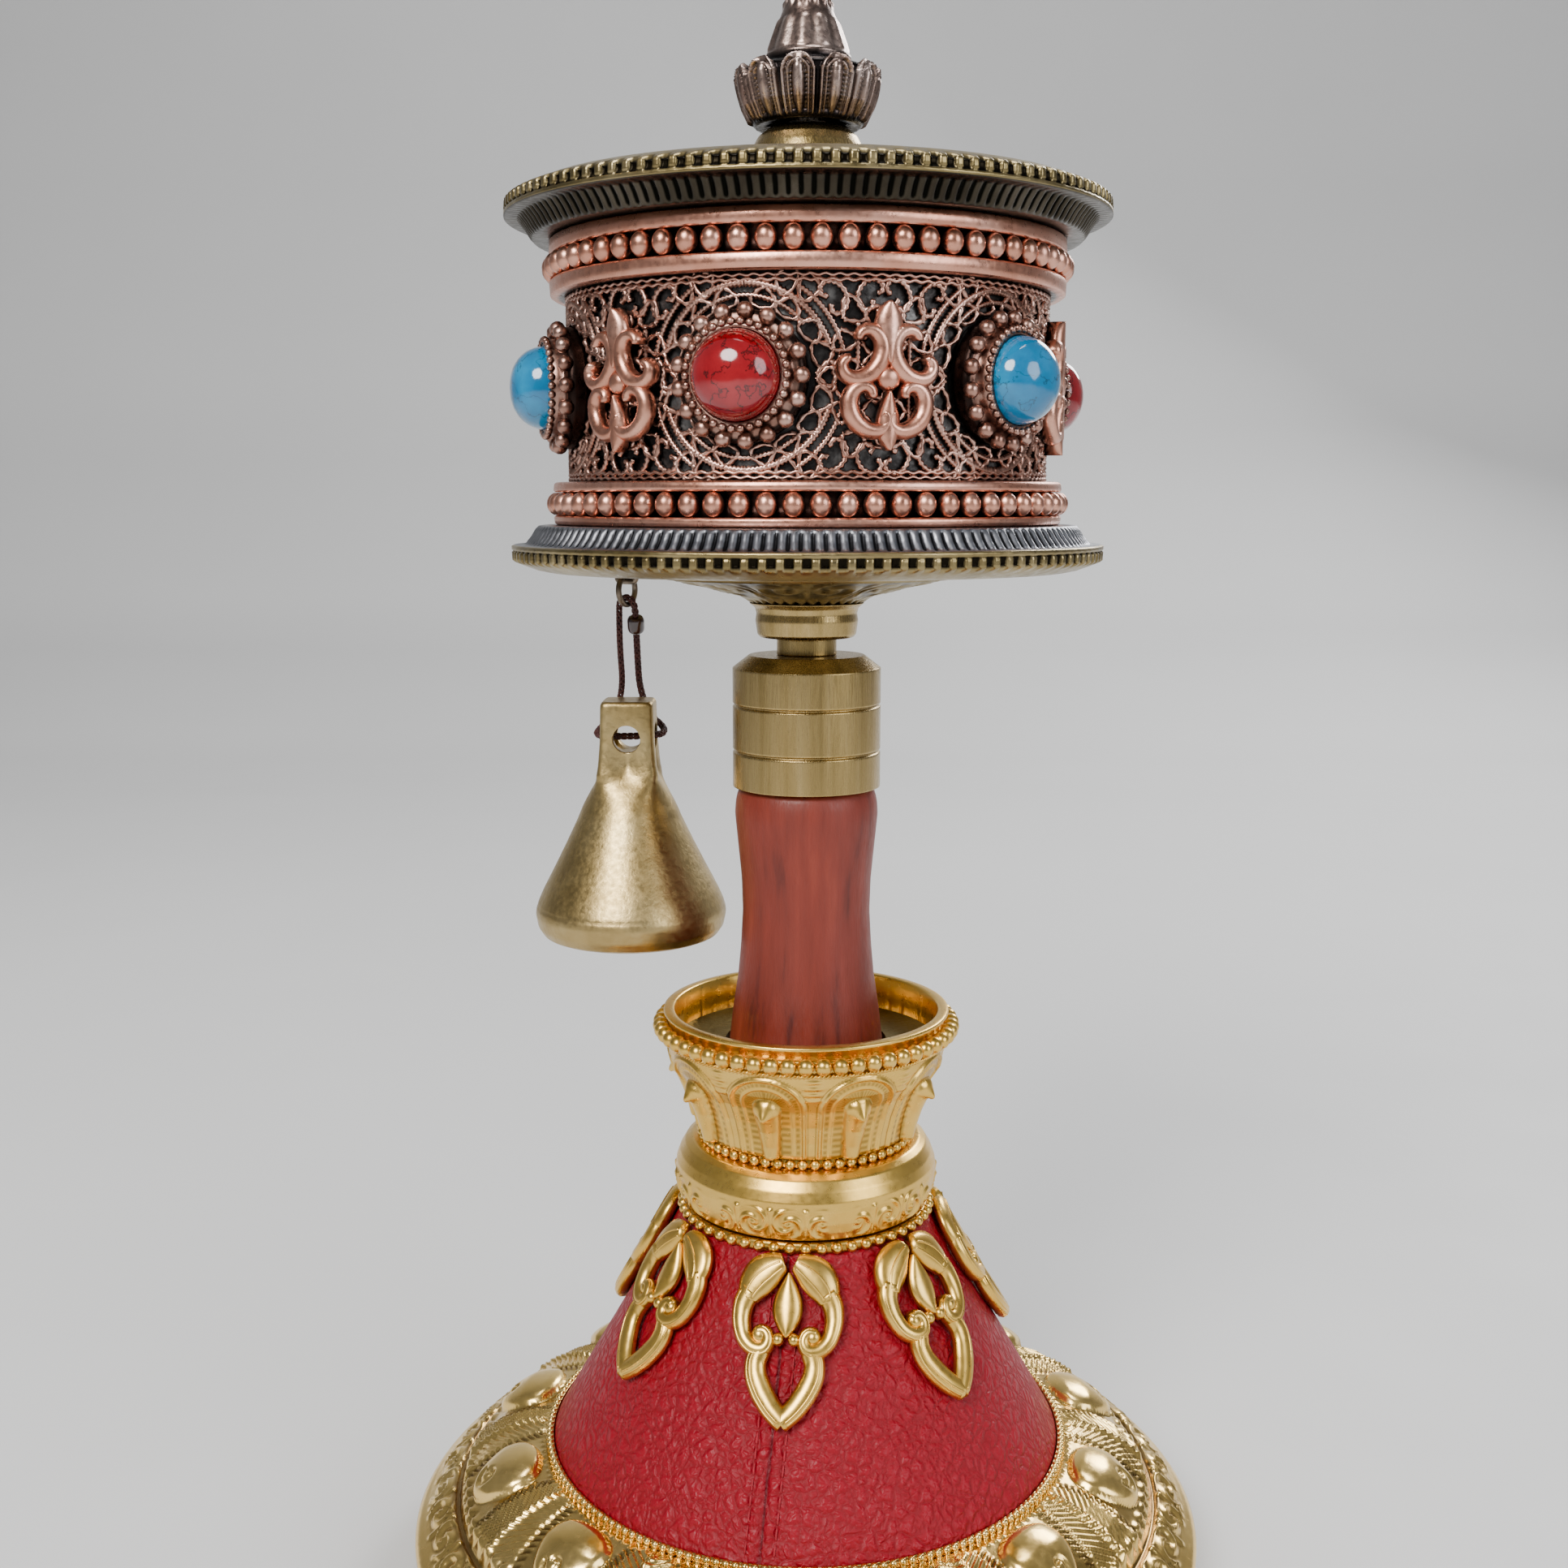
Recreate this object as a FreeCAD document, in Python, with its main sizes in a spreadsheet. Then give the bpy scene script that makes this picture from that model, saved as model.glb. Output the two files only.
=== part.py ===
import FreeCAD, Part
import math
import os
import Sketcher
from FreeCAD import Placement, Rotation, Vector

# Hand-held prayer wheel standing in the socket of its vase-shaped stand.
# Frame: millimetres, +Z up, origin at the middle of the stand's underside.
# The stand, the hand-held grip with its spindle, the turning drum and the swinging
# weight are separate groups of pieces. Every piece is one object of this document.

UP = Vector(0, 0, 1)
MID_AIR = Vector(0, 0, 0)

doc = FreeCAD.newDocument("PrayerWheel")


# ---------------------------------------------------------------- sizes

SIZES = {
    # stand: base, from the floor up
    "felt_radius": 50.5, "felt_top": 1.4,
    "plate_board_radius": 52.0, "plate_board_top": 5.0, "counterbore_top": 3.6,
    "skirt_radius": 53.77, "skirt_edge_z": 8.2, "skirt_foot_radius": 53.2,
    "skirt_groove_radius": 47.8, "skirt_groove_z": 13.0,
    "skirt_inner_radius": 34.95, "skirt_top_z": 19.5, "skirt_sheet": 0.9,
    "hem_bead_ring": 35.35, "hem_bead_radius": 0.52, "hem_bead_count": 92,
    # stand: leather cone
    "cone_foot_radius": 34.66, "cone_foot_z": 20.4,
    "cone_middle_radius": 24.3, "cone_middle_z": 38.4,
    "cone_top_radius": 16.6, "cone_top_z": 51.9,
    "leather_thickness": 1.05,
    # stand: collar, cup and their beads
    "collar_bead_ring": 16.85, "collar_bead_radius": 0.66, "collar_bead_count": 52,
    "collar_foot_z": 53.4, "collar_radius": 17.6, "collar_belly_z": 57.8,
    "collar_top_z": 62.0, "collar_shoulder": 15.9,
    "foot_bead_ring": 14.05, "foot_bead_radius": 0.68, "foot_bead_count": 56,
    "cup_foot_z": 63.55, "cup_foot_radius": 14.4, "cup_flare_radius": 17.9,
    "cup_flare_z": 72.7, "cup_neck_radius": 18.5, "cup_rim_radius": 19.06,
    "cup_rim_z": 80.0, "cup_mouth_radius": 17.6, "cup_floor_z": 73.75,
    "boss_count": 9, "boss_radius": 1.75, "boss_top_z": 71.0, "boss_reach": 17.3,
    "boss_first_angle": -67.0,
    "rim_bead_ring": 19.25, "rim_bead_radius": 1.03, "rim_bead_z": 77.7,
    "rim_bead_count": 56, "rope_ring": 18.87, "rope_radius": 0.3, "rope_z": 76.3,
    # stand: socket and tie screw
    "socket_radius": 10.5, "tube_radius": 11.6, "tube_foot_z": 38.1,
    "plug_top_z": 41.9, "disc_top_z": 75.3, "disc_hole_radius": 10.8,
    "screw_radius": 2.05, "screw_head_radius": 4.5, "screw_end_z": 41.0,
    "core_bore_radius": 11.7, "core_foot_radius": 33.4,
    # pierced pendants on the leather
    "pendant_count": 7, "pendant_first_angle": -96.0, "pendant_thickness": 2.4,
    "pendant_gap": 0.08, "pendant_top_z": 51.2, "pendant_tip_z": 33.6,
    "pendant_width": 12.6,
    # grip: handle, ferrule, spindle
    "handle_foot_z": 42.0, "handle_radius": 10.4, "handle_waist": 8.41,
    "handle_waist_z": 93.2, "handle_head_radius": 9.4, "handle_head_z": 106.3,
    "handle_top_z": 109.7, "tenon_radius": 8.15, "tenon_top_z": 124.9,
    "ferrule_radius": 9.65, "ferrule_top_radius": 7.52, "ferrule_foot_z": 109.85,
    "ferrule_top_z": 127.0, "groove_low_z": 114.6, "groove_high_z": 120.6,
    "groove_radius": 0.45,
    "spindle_radius": 2.1, "spindle_foot_z": 80.5, "spindle_top_z": 199.0,
    "fixed_fit": 0.02, "running_fit": 0.05,
    "washer_radius": 3.88, "washer_top_z": 129.2,
    # finial on top of the spindle
    "finial_rim_radius": 6.47, "finial_rim_z": 192.2, "finial_radius": 8.83,
    "finial_belly_z": 197.3, "finial_neck_radius": 4.55, "finial_neck_z": 200.9,
    "finial_spire_radius": 2.5, "finial_spire_z": 207.6, "finial_bud_radius": 3.0,
    "finial_bud_z": 211.4, "finial_tip_z": 218.5,
    # drum: two equal plates about the drum's middle height
    "drum_middle_z": 160.98, "plate_radius": 37.5, "plate_face": 17.28,
    "knurl_far": 21.84, "knurl_near": 20.5, "lip_near": 19.75, "knurl_count": 120,
    "knurl_depth": 0.55, "gadroon_near_radius": 34.2, "gadroon_far_radius": 35.6,
    "plate_flat": 23.0, "dish_radius": 19.3, "dish_near": 24.0, "dish_far": 27.1,
    "hub_seat_radius": 7.07, "plate_hole_radius": 4.55, "plate_wall": 1.3,
    "plate_ledge_radius": 26.5,
    "can_radius": 29.3, "can_wall": 0.6, "sleeve_radius": 30.28,
    "panel_low_z": 149.0, "panel_high_z": 171.4,
    "band_rail_radius": 32.0, "band_bead_radius": 1.35, "band_bead_ring": 31.75,
    "band_bead_count": 66,
    # drum: hubs, bushes, core and paper
    "hub_flare_radius": 7.48, "hub_waist_radius": 6.54, "hub_belly_radius": 6.66,
    "hub_foot_radius": 6.26, "hub_foot_z": 129.3, "hub_waist_z": 132.2,
    "hub_belly_z": 131.5, "spigot_radius": 4.5, "spigot_length": 3.6,
    "bush_radius": 3.3, "cap_top_z": 192.4, "cap_shoulder_z": 190.4,
    "core_radius": 4.4, "core_wall": 1.2, "paper_radius": 25.6, "paper_margin": 3.5,
    # drum: stones and ornaments
    "stone_count": 6, "stone_radius": 5.0, "stone_tip": 37.45, "stone_seat": 32.0,
    "stone_girdle": 33.3, "stone_z": 160.2, "stone_first_angle": -103.5,
    "bezel_radius": 5.9, "bezel_top": 33.7, "flange_radius": 7.3, "flange_top": 31.7,
    "ornament_height": 16.5, "ornament_width": 9.6, "ornament_reach": 32.3,
    # weight: staple, ring, cord, bell
    "weight_reach": 27.82, "weight_angle": 152.15,
    "staple_wire": 0.4, "staple_half_span": 1.5, "staple_bar_z": 135.8,
    "staple_foot_radius": 2.4, "staple_foot": 0.5,
    "ring_radius": 2.0, "ring_wire": 0.4, "ring_centre_z": 134.65,
    "cord_radius": 0.5, "bead_radius": 1.2, "bead_half_length": 1.3,
    "bell_foot_z": 86.3, "bell_radius": 13.35, "bell_belly_z": 89.6,
    "bell_waist_radius": 5.1, "bell_waist_z": 107.4, "bell_top_z": 119.6,
    "bell_neck_radius": 4.9, "neck_flat": 3.7, "neck_flat_z": 108.6,
    "eye_radius": 1.9, "eye_z": 114.5,
}

sheet = doc.addObject("Spreadsheet::Sheet", "Dimensions")
for row, (alias, value) in enumerate(SIZES.items(), start=1):
    sheet.set(f"A{row}", alias)
    sheet.set(f"B{row}", str(value))
    sheet.setAlias(f"B{row}", alias)
doc.recompute()


class Size(float):
    """A length from the sheet that remembers the expression it comes from."""

    def __new__(cls, number, text=None):
        size = super().__new__(cls, number)
        size.text = text or repr(float(number))
        return size

    def _join(self, sign, other, number, swapped=False):
        left, right = self.text, Size(other).text if type(other) is not Size else other.text
        if swapped:
            left, right = right, left
        return Size(number, f"({left} {sign} {right})")

    def __add__(self, other):
        return self._join("+", other, float(self) + float(other))

    def __sub__(self, other):
        return self._join("-", other, float(self) - float(other))

    def __mul__(self, other):
        return self._join("*", other, float(self) * float(other))

    def __truediv__(self, other):
        return self._join("/", other, float(self) / float(other))

    def __radd__(self, other):
        return self._join("+", other, float(other) + float(self), swapped=True)

    def __rsub__(self, other):
        return self._join("-", other, float(other) - float(self), swapped=True)

    def __rmul__(self, other):
        return self._join("*", other, float(other) * float(self), swapped=True)


def size(alias):
    """The sheet's cell of that name."""
    return Size(float(getattr(sheet, alias)), f"Dimensions.{alias}")


# ---------------------------------------------------------------- ways of making pieces

PIECES = []


def keep(piece, name):
    """Names a piece after its node and puts it on the list of exported pieces."""
    piece.Label = name
    PIECES.append(piece)
    return piece


def bind(thing, prop, value):
    """Sets a property, through its sheet expression when it has one."""
    setattr(thing, prop, float(value))
    if isinstance(value, Size):
        thing.setExpression(prop, value.text)


def plane_of(body, role):
    """One of the body's own origin planes."""
    return next(f for f in body.Origin.OriginFeatures if f.Role == role)


def new_sketch(body, name, role):
    sketch = body.newObject("Sketcher::SketchObject", name)
    sketch.AttachmentSupport = (plane_of(body, role), "")
    sketch.MapMode = "FlatFace"
    return sketch


def pin_point(sketch, edge, corner, across, up):
    """Holds one corner of an outline at its distances from the sketch's two axes."""
    for kind, axis, value in (("DistanceX", -2, across), ("DistanceY", -1, up)):
        if abs(float(value)) < 1e-9:
            sketch.addConstraint(Sketcher.Constraint("PointOnObject", edge, corner, axis))
            continue
        index = sketch.addConstraint(
            Sketcher.Constraint(kind, -1, 1, edge, corner, float(value)))
        if isinstance(value, Size):
            sketch.setExpression(f"Constraints[{index}]", value.text)


def arc_between(start, end, radius):
    """The short arc from start to end; a positive radius bulges to the right of travel."""
    half = (end - start) * 0.5
    rise = math.sqrt(max(radius * radius - half.Length ** 2, 0.0))
    left = Vector(-half.y, half.x, 0).normalize()
    side = 1 if radius > 0 else -1
    centre = start + half + left * (rise * side)
    first, last = start - centre, end - centre
    begin, finish = math.atan2(first.y, first.x), math.atan2(last.y, last.x)
    if side < 0:
        begin, finish = finish, begin
    if finish < begin:
        finish += 2 * math.pi
    return Part.ArcOfCircle(Part.Circle(centre, UP, abs(radius)), begin, finish)


def outline(sketch, points):
    """Draws a closed outline. A point is (across, up) for a straight side that ends there,
    or (across, up, radius) for an arc that ends there."""
    places = [Vector(float(p[0]), float(p[1]), 0) for p in points]
    starts = []
    for i, point in enumerate(points):
        start, end = places[i - 1], places[i]
        if len(point) == 3:
            sketch.addGeometry(arc_between(start, end, float(point[2])), False)
            starts.append((1, 2) if float(point[2]) > 0 else (2, 1))
        else:
            sketch.addGeometry(Part.LineSegment(start, end), False)
            starts.append((1, 2))
    for i, point in enumerate(points):
        sketch.addConstraint(Sketcher.Constraint(
            "Coincident", i - 1 if i else len(points) - 1, starts[i - 1][1], i, starts[i][0]))
    for i, point in enumerate(points):
        pin_point(sketch, i, starts[i][1], point[0], point[1])
        if len(point) == 3:
            index = sketch.addConstraint(Sketcher.Constraint("Radius", i, abs(float(point[2]))))
            if isinstance(point[2], Size):
                sketch.setExpression(f"Constraints[{index}]", f"abs({point[2].text})")


def turned(name, points):
    """A turned piece: its outline on the XZ plane, taken once round Z."""
    body = doc.addObject("PartDesign::Body", name)
    sketch = new_sketch(body, f"{name}_outline", "XZ_Plane")
    outline(sketch, points)
    turn = body.newObject("PartDesign::Revolution", f"{name}_turn")
    turn.Profile = sketch
    turn.ReferenceAxis = (sketch, ["V_Axis"])
    turn.Angle = 360
    body.Tip = turn
    return keep(body, name)


def polar(body, feature, count, name):
    """Repeats a feature of a turned piece evenly round Z."""
    pattern = body.newObject("PartDesign::PolarPattern", name)
    pattern.Originals = [feature]
    pattern.Axis = (feature.Profile[0], ["V_Axis"])
    pattern.Angle = 360
    pattern.Occurrences = int(count)
    body.Tip = pattern
    return pattern


def ring_of(low, high, inner, outer):
    """Outline of a plain ring with a square section."""
    return [(inner, low), (outer, low), (outer, high), (inner, high)]


def ring_of_balls(ring, radius, count, height):
    """Balls spaced evenly round Z, each with its poles facing in and out."""
    balls = []
    for i in range(int(count)):
        angle = 2 * math.pi * (i + 0.5) / int(count)
        out = Vector(math.cos(angle), math.sin(angle), 0)
        balls.append(Part.makeSphere(float(radius), out * float(ring) + UP * float(height),
                                     out))
    return balls


def bead_ring(name, ring, bead, count, height, inner, outer, low, high):
    """A beaded ring: round beads half sunk in a flat band, bored to fit what it goes round."""
    beads = ring_of_balls(ring, bead, count, height)
    depth = float(high - low)
    band = Part.makeCylinder(float(outer), depth, Vector(0, 0, low))
    bore = Part.makeCylinder(float(inner), depth + 8, Vector(0, 0, low - 4))
    whole = band.cut(bore).multiFuse(beads)
    if ring - bead < inner:
        whole = whole.cut(bore)
    piece = doc.addObject("Part::Feature", name)
    piece.Shape = whole
    return keep(piece, name)


def loop(points):
    """A closed smooth wire through the points, in the YZ plane."""
    curve = Part.BSplineCurve()
    curve.interpolate([Vector(0, y, z) for y, z in points], PeriodicFlag=True)
    return Part.Wire(curve.toShape())


def mirrored(half):
    """A left-right symmetric outline from its right half, listed from top to bottom."""
    return half + [(-y, z) for y, z in reversed(half) if abs(y) > 1e-9]


def relief(wires, near, far):
    """Thick shape with those outlines, reaching along +X from near to far."""
    face = Part.makeFace(wires, "Part::FaceMakerBullseye")
    face.translate(Vector(near, 0, 0))
    return face.extrude(Vector(far - near, 0, 0))


def round_z(degrees):
    return Placement(MID_AIR, Rotation(UP, float(degrees)))


# ---------------------------------------------------------------- stand: base

turned("felt_pad", [(0, 0), (size("felt_radius"), 0),
                    (size("felt_radius"), size("felt_top")), (0, size("felt_top"))])

felt_top, board_top = size("felt_top"), size("plate_board_top")
counter_top = size("counterbore_top")
turned("base_plate", [
    (size("screw_radius") + 0.6, counter_top), (size("screw_head_radius") + 1.4, counter_top),
    (size("screw_head_radius") + 1.4, felt_top), (size("plate_board_radius"), felt_top),
    (size("plate_board_radius"), board_top), (size("screw_radius") + 0.6, board_top)])

skirt, edge_z = size("skirt_radius"), size("skirt_edge_z")
groove_r, groove_z = size("skirt_groove_radius"), size("skirt_groove_z")
skirt_in, skirt_top, skin = (size("skirt_inner_radius"), size("skirt_top_z"),
                             size("skirt_sheet"))
turned("base_skirt", [
    (skirt_in, skirt_top - skin), (groove_r - 1.2, groove_z - skin, -14.0),
    (skirt - 3.4, edge_z + 0.4), (skirt - skin - 0.6, edge_z - 1.6),
    (skirt - skin - 0.6, felt_top), (size("skirt_foot_radius"), felt_top),
    (size("skirt_foot_radius"), edge_z - 1.5), (skirt, edge_z - 1.1), (skirt, edge_z),
    (skirt - 0.5, edge_z + 1.0), (groove_r + 1.0, groove_z),
    (groove_r, groove_z), (skirt_in + 1.6, skirt_top, 15.0), (skirt_in, skirt_top)])

hem_z = skirt_top + 0.6
bead_ring("hem_beads", size("hem_bead_ring"), size("hem_bead_radius"),
          size("hem_bead_count"), hem_z, size("cone_foot_radius") + 0.1,
          size("hem_bead_ring") + 0.15, skirt_top + 0.03, skirt_top + 1.1)

# ---------------------------------------------------------------- stand: cone

foot_r, foot_z = size("cone_foot_radius"), size("cone_foot_z")
neck_r, neck_z = size("cone_top_radius"), size("cone_top_z")
hide = size("leather_thickness")
under_skirt_z = skirt_top - 1.4
turned("cone_core", [
    (size("screw_radius") + 0.75, board_top + 0.05),
    (size("core_foot_radius"), board_top + 0.05), (size("core_foot_radius"), under_skirt_z),
    (foot_r - hide - 0.15, foot_z - 0.4),
    (neck_r - hide - 0.2, neck_z),
    (size("core_bore_radius"), neck_z), (size("core_bore_radius"), size("tube_foot_z")),
    (size("screw_radius") + 0.75, size("tube_foot_z"))])
turned("leather_cover", [
    (foot_r - hide, foot_z - 0.4), (foot_r, foot_z - 0.4), (foot_r, foot_z),
    (neck_r, neck_z), (neck_r - hide - 0.05, neck_z), (foot_r - hide, foot_z)])

# ---------------------------------------------------------------- stand: collar and cup

bore = size("core_bore_radius") + 0.05
collar_z, collar_top = size("collar_foot_z"), size("collar_top_z")
belly, belly_z = size("collar_radius"), size("collar_belly_z")
bead_ring("collar_beads", size("collar_bead_ring"), size("collar_bead_radius"),
          size("collar_bead_count"), neck_z + 0.77, bore, size("collar_bead_ring") - 0.2,
          neck_z + 0.05, collar_z - 0.05)
turned("collar", [
    (bore, collar_z), (belly - 1.6, collar_z), (belly, belly_z, 5.6),
    (size("collar_shoulder"), collar_top + 0.2, 6.4),
    (size("foot_bead_ring") + 0.9, collar_top), (bore, collar_top)])
bead_ring("foot_beads", size("foot_bead_ring"), size("foot_bead_radius"),
          size("foot_bead_count"), collar_top + 0.78, bore, size("foot_bead_ring") - 0.2,
          collar_top + 0.05, size("cup_foot_z") - 0.05)

cup_z, rim_r, rim_z = size("cup_foot_z"), size("cup_rim_radius"), size("cup_rim_z")
mouth, floor_z = size("cup_mouth_radius"), size("cup_floor_z")
cup = turned("cup", [
    (bore, cup_z), (size("cup_foot_radius"), cup_z),
    (size("cup_flare_radius"), size("cup_flare_z"), -18.0),
    (size("cup_neck_radius") - 0.3, size("rope_z") - 0.7),
    (size("cup_neck_radius"), size("rope_z")), (size("cup_neck_radius"), rim_z - 0.8),
    (rim_r, rim_z - 0.5), (rim_r, rim_z), (mouth, rim_z), (mouth, floor_z), (bore, floor_z)])
boss_r, boss_z, boss_reach = size("boss_radius"), size("boss_top_z"), size("boss_reach")
boss_sketch = new_sketch(cup, "boss_outline", "XZ_Plane")
boss_sketch.AttachmentOffset = Placement(
    MID_AIR, Rotation(Vector(0, 1, 0), float(size("boss_first_angle"))))
outline(boss_sketch, [
    (boss_reach - 3.2, cup_z + 0.6), (boss_reach - 2.5, cup_z + 0.4),
    (boss_reach + 0.95, boss_z), (boss_reach - 0.6, boss_z + 1.2),
    (boss_reach - 3.2, boss_z)])
boss = cup.newObject("PartDesign::Pad", "boss")
boss.Profile = boss_sketch
bind(boss, "Length", boss_r * 2)
boss.Midplane = True
cup.Tip = boss
doc.recompute()
polar(cup, boss, size("boss_count"), "bosses")

bead_ring("rim_beads", size("rim_bead_ring"), size("rim_bead_radius"),
          size("rim_bead_count"), size("rim_bead_z"), size("cup_neck_radius") + 0.03,
          size("cup_neck_radius") + 0.4, size("rim_bead_z") - 0.6, size("rim_bead_z") + 0.6)
rope = doc.addObject("Part::Torus", "rim_rope")
bind(rope, "Radius1", size("rope_ring"))
bind(rope, "Radius2", size("rope_radius"))
rope.Placement = Placement(Vector(0, 0, size("rope_z")), Rotation())
keep(rope, "rim_rope")

# ---------------------------------------------------------------- stand: socket

tube_z, tube_r, socket = size("tube_foot_z"), size("tube_radius"), size("socket_radius")
disc_top, plug_top = size("disc_top_z"), size("plug_top_z")
screw, head = size("screw_radius"), size("screw_head_radius")
turned("socket_disc", ring_of(floor_z + 0.03, disc_top, size("disc_hole_radius"),
                              mouth - 0.05))
turned("socket_tube", ring_of(tube_z + 0.05, floor_z - 0.05, socket, tube_r))
turned("socket_plug", ring_of(tube_z + 0.05, plug_top, screw + 0.03, socket - 0.03))
turned("tie_washer", ring_of(counter_top - 0.5, counter_top - 0.02, screw + 0.2, head + 1.1))
turned("tie_screw", [
    (0, felt_top + 0.1), (head, felt_top + 0.1), (head, counter_top - 0.52),
    (screw, counter_top - 0.52), (screw, size("screw_end_z")), (0, size("screw_end_z"))])

# ---------------------------------------------------------------- stand: pendants


def pendants():
    """Pierced leaf ornaments, curved to lie on the leather cone."""
    gap, thick = float(size("pendant_gap")), float(size("pendant_thickness"))
    top, tip = float(size("pendant_top_z")), float(size("pendant_tip_z"))
    wide = float(size("pendant_width")) / 2
    tall = top - tip

    def leather_radius(z):
        """Straight-line radius of the leather at a height, with the pendant's gap."""
        share = (z - float(foot_z)) / (float(neck_z) - float(foot_z))
        return float(foot_r) + share * (float(neck_r) - float(foot_r)) + gap

    low_z, high_z = tip - 1, top + 0.4
    shell = Part.makeCone(leather_radius(low_z) + thick, leather_radius(high_z) + thick,
                          high_z - low_z, Vector(0, 0, low_z))
    shell = shell.cut(Part.makeCone(leather_radius(low_z), leather_radius(high_z),
                                    high_z - low_z, Vector(0, 0, low_z)))
    leaf = [(0, top), (wide * 0.75, top - tall * 0.03), (wide * 0.9, top - tall * 0.2),
            (wide, top - tall * 0.38), (wide * 0.72, top - tall * 0.58),
            (wide * 0.62, top - tall * 0.74), (wide * 0.3, top - tall * 0.92), (0, tip)]
    upper = [(0, top - tall * 0.12), (wide * 0.5, top - tall * 0.28),
             (wide * 0.42, top - tall * 0.42), (0, top - tall * 0.47)]
    lower = [(0, top - tall * 0.56), (wide * 0.26, top - tall * 0.66),
             (wide * 0.2, top - tall * 0.78), (0, top - tall * 0.86)]
    wires = [loop(mirrored(half)) for half in (leaf, upper, lower)]
    solid = relief(wires, 8.0, 40.0).common(shell)
    count = int(size("pendant_count"))
    for i in range(count):
        name = f"pendant_{i + 1}"
        piece = doc.addObject("Part::Feature", name)
        piece.Shape = solid
        piece.Placement = round_z(size("pendant_first_angle") + 360.0 * i / count)
        keep(piece, name)


pendants()

# ---------------------------------------------------------------- grip

handle_z, handle_r = size("handle_foot_z"), size("handle_radius")
fixed, running = size("fixed_fit"), size("running_fit")
pin, pin_foot, pin_top = (size("spindle_radius"), size("spindle_foot_z"),
                          size("spindle_top_z"))
turned("handle", [
    (0, handle_z), (handle_r - 0.8, handle_z), (handle_r, handle_z + 0.8),
    (handle_r, handle_z + 30), (size("handle_waist"), size("handle_waist_z"), -64.0),
    (size("handle_head_radius"), size("handle_head_z"), -74.0),
    (size("handle_head_radius") - 0.5, size("handle_top_z"), 5.0),
    (size("tenon_radius"), size("handle_top_z")), (size("tenon_radius"), size("tenon_top_z")),
    (pin + fixed, size("tenon_top_z")), (pin + fixed, pin_foot - 0.3), (0, pin_foot - 0.3)])

cap_r, cap_foot, cap_top = (size("ferrule_radius"), size("ferrule_foot_z"),
                            size("ferrule_top_z"))
notch, notch_low, notch_high = (size("groove_radius"), size("groove_low_z"),
                                size("groove_high_z"))
turned("ferrule", [
    (size("tenon_radius") + fixed, cap_foot), (cap_r, cap_foot), (cap_r, notch_low - notch),
    (cap_r, notch_low + notch, notch * -1.05), (cap_r, notch_high - notch),
    (cap_r, notch_high + notch, notch * -1.05), (cap_r, cap_top - 1.5),
    (size("ferrule_top_radius"), cap_top), (pin + fixed, cap_top),
    (pin + fixed, size("tenon_top_z") + 0.05), (size("tenon_radius") + fixed,
                                                size("tenon_top_z") + 0.05)])
turned("spindle", [(0, pin_foot), (pin, pin_foot), (pin, pin_top - 0.8),
                   (pin - 0.8, pin_top), (0, pin_top)])
turned("thrust_washer", ring_of(cap_top + 0.02, size("washer_top_z"), pin + fixed,
                                size("washer_radius")))

bulb, bulb_z = size("finial_radius"), size("finial_belly_z")
brim, brim_z = size("finial_rim_radius"), size("finial_rim_z")
turned("finial", [
    (pin + fixed, brim_z + 1.8), (brim - 0.5, brim_z + 0.1, 9.0), (brim, brim_z),
    (bulb, bulb_z, 6.0), (bulb - 2.0, bulb_z + 2.9, 3.0),
    (size("finial_neck_radius"), size("finial_neck_z"), -4.0),
    (size("finial_spire_radius"), size("finial_spire_z"), -16.0),
    (size("finial_bud_radius"), size("finial_bud_z"), 6.5),
    (size("finial_bud_radius") - 0.5, size("finial_bud_z") + 2.4),
    (size("finial_bud_radius") - 1.5, size("finial_tip_z") - 1.8),
    (0.5, size("finial_tip_z")), (0, size("finial_tip_z")), (0, pin_top + 0.1),
    (pin + fixed, pin_top + 0.1)])

# ---------------------------------------------------------------- drum: plates

middle = size("drum_middle_z")


def plate(name, side):
    """One end casting of the drum: side is -1 for the lower plate and 1 for the upper."""
    def at(reach):
        return middle + size(reach) * side

    def near(radius):
        return radius * side

    wall = size("plate_wall") * side
    rim = size("plate_radius")
    points = [
        (size("plate_hole_radius"), at("dish_far")), (size("hub_seat_radius"), at("dish_far")),
        (size("dish_radius"), at("dish_near"), near(-42.0)),
        (size("dish_radius") + 0.5, at("plate_flat")), (rim - 3.0, at("plate_flat")),
        (rim - 0.4, at("knurl_far")), (rim, at("knurl_far") - 0.3 * side),
        (rim, at("lip_near")), (size("gadroon_far_radius") + 0.1, at("lip_near")),
        (size("gadroon_far_radius"), at("lip_near") - 0.3 * side),
        (size("gadroon_near_radius"), at("plate_face") + 0.1 * side, near(-2.2)),
        (size("gadroon_near_radius") - 0.3, at("plate_face")),
        (size("plate_ledge_radius"), at("plate_face")),
        (size("plate_ledge_radius"), at("plate_flat") - wall),
        (size("dish_radius") - 0.4, at("dish_near") - wall),
        (size("hub_seat_radius"), at("dish_far") - wall, near(42.0)),
        (size("plate_hole_radius"), at("dish_far") - wall)]
    body = turned(name, points)
    cutter = new_sketch(body, f"{name}_gap_outline", "XZ_Plane")
    deep, low, high = size("knurl_depth"), at("knurl_near"), at("knurl_far") + 0.5 * side
    outline(cutter, [(rim - deep, low), (rim + 0.5, low), (rim + 0.5, high),
                     (rim - deep, high)])
    gap = body.newObject("PartDesign::Pocket", f"{name}_gap")
    gap.Profile = cutter
    bind(gap, "Length", rim * (0.8 * math.pi) / size("knurl_count"))
    gap.Midplane = True
    body.Tip = gap
    doc.recompute()
    polar(body, gap, size("knurl_count"), f"{name}_knurl")


plate("lower_plate", -1)
plate("upper_plate", 1)

# ---------------------------------------------------------------- drum: can, sleeve, bands

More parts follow.
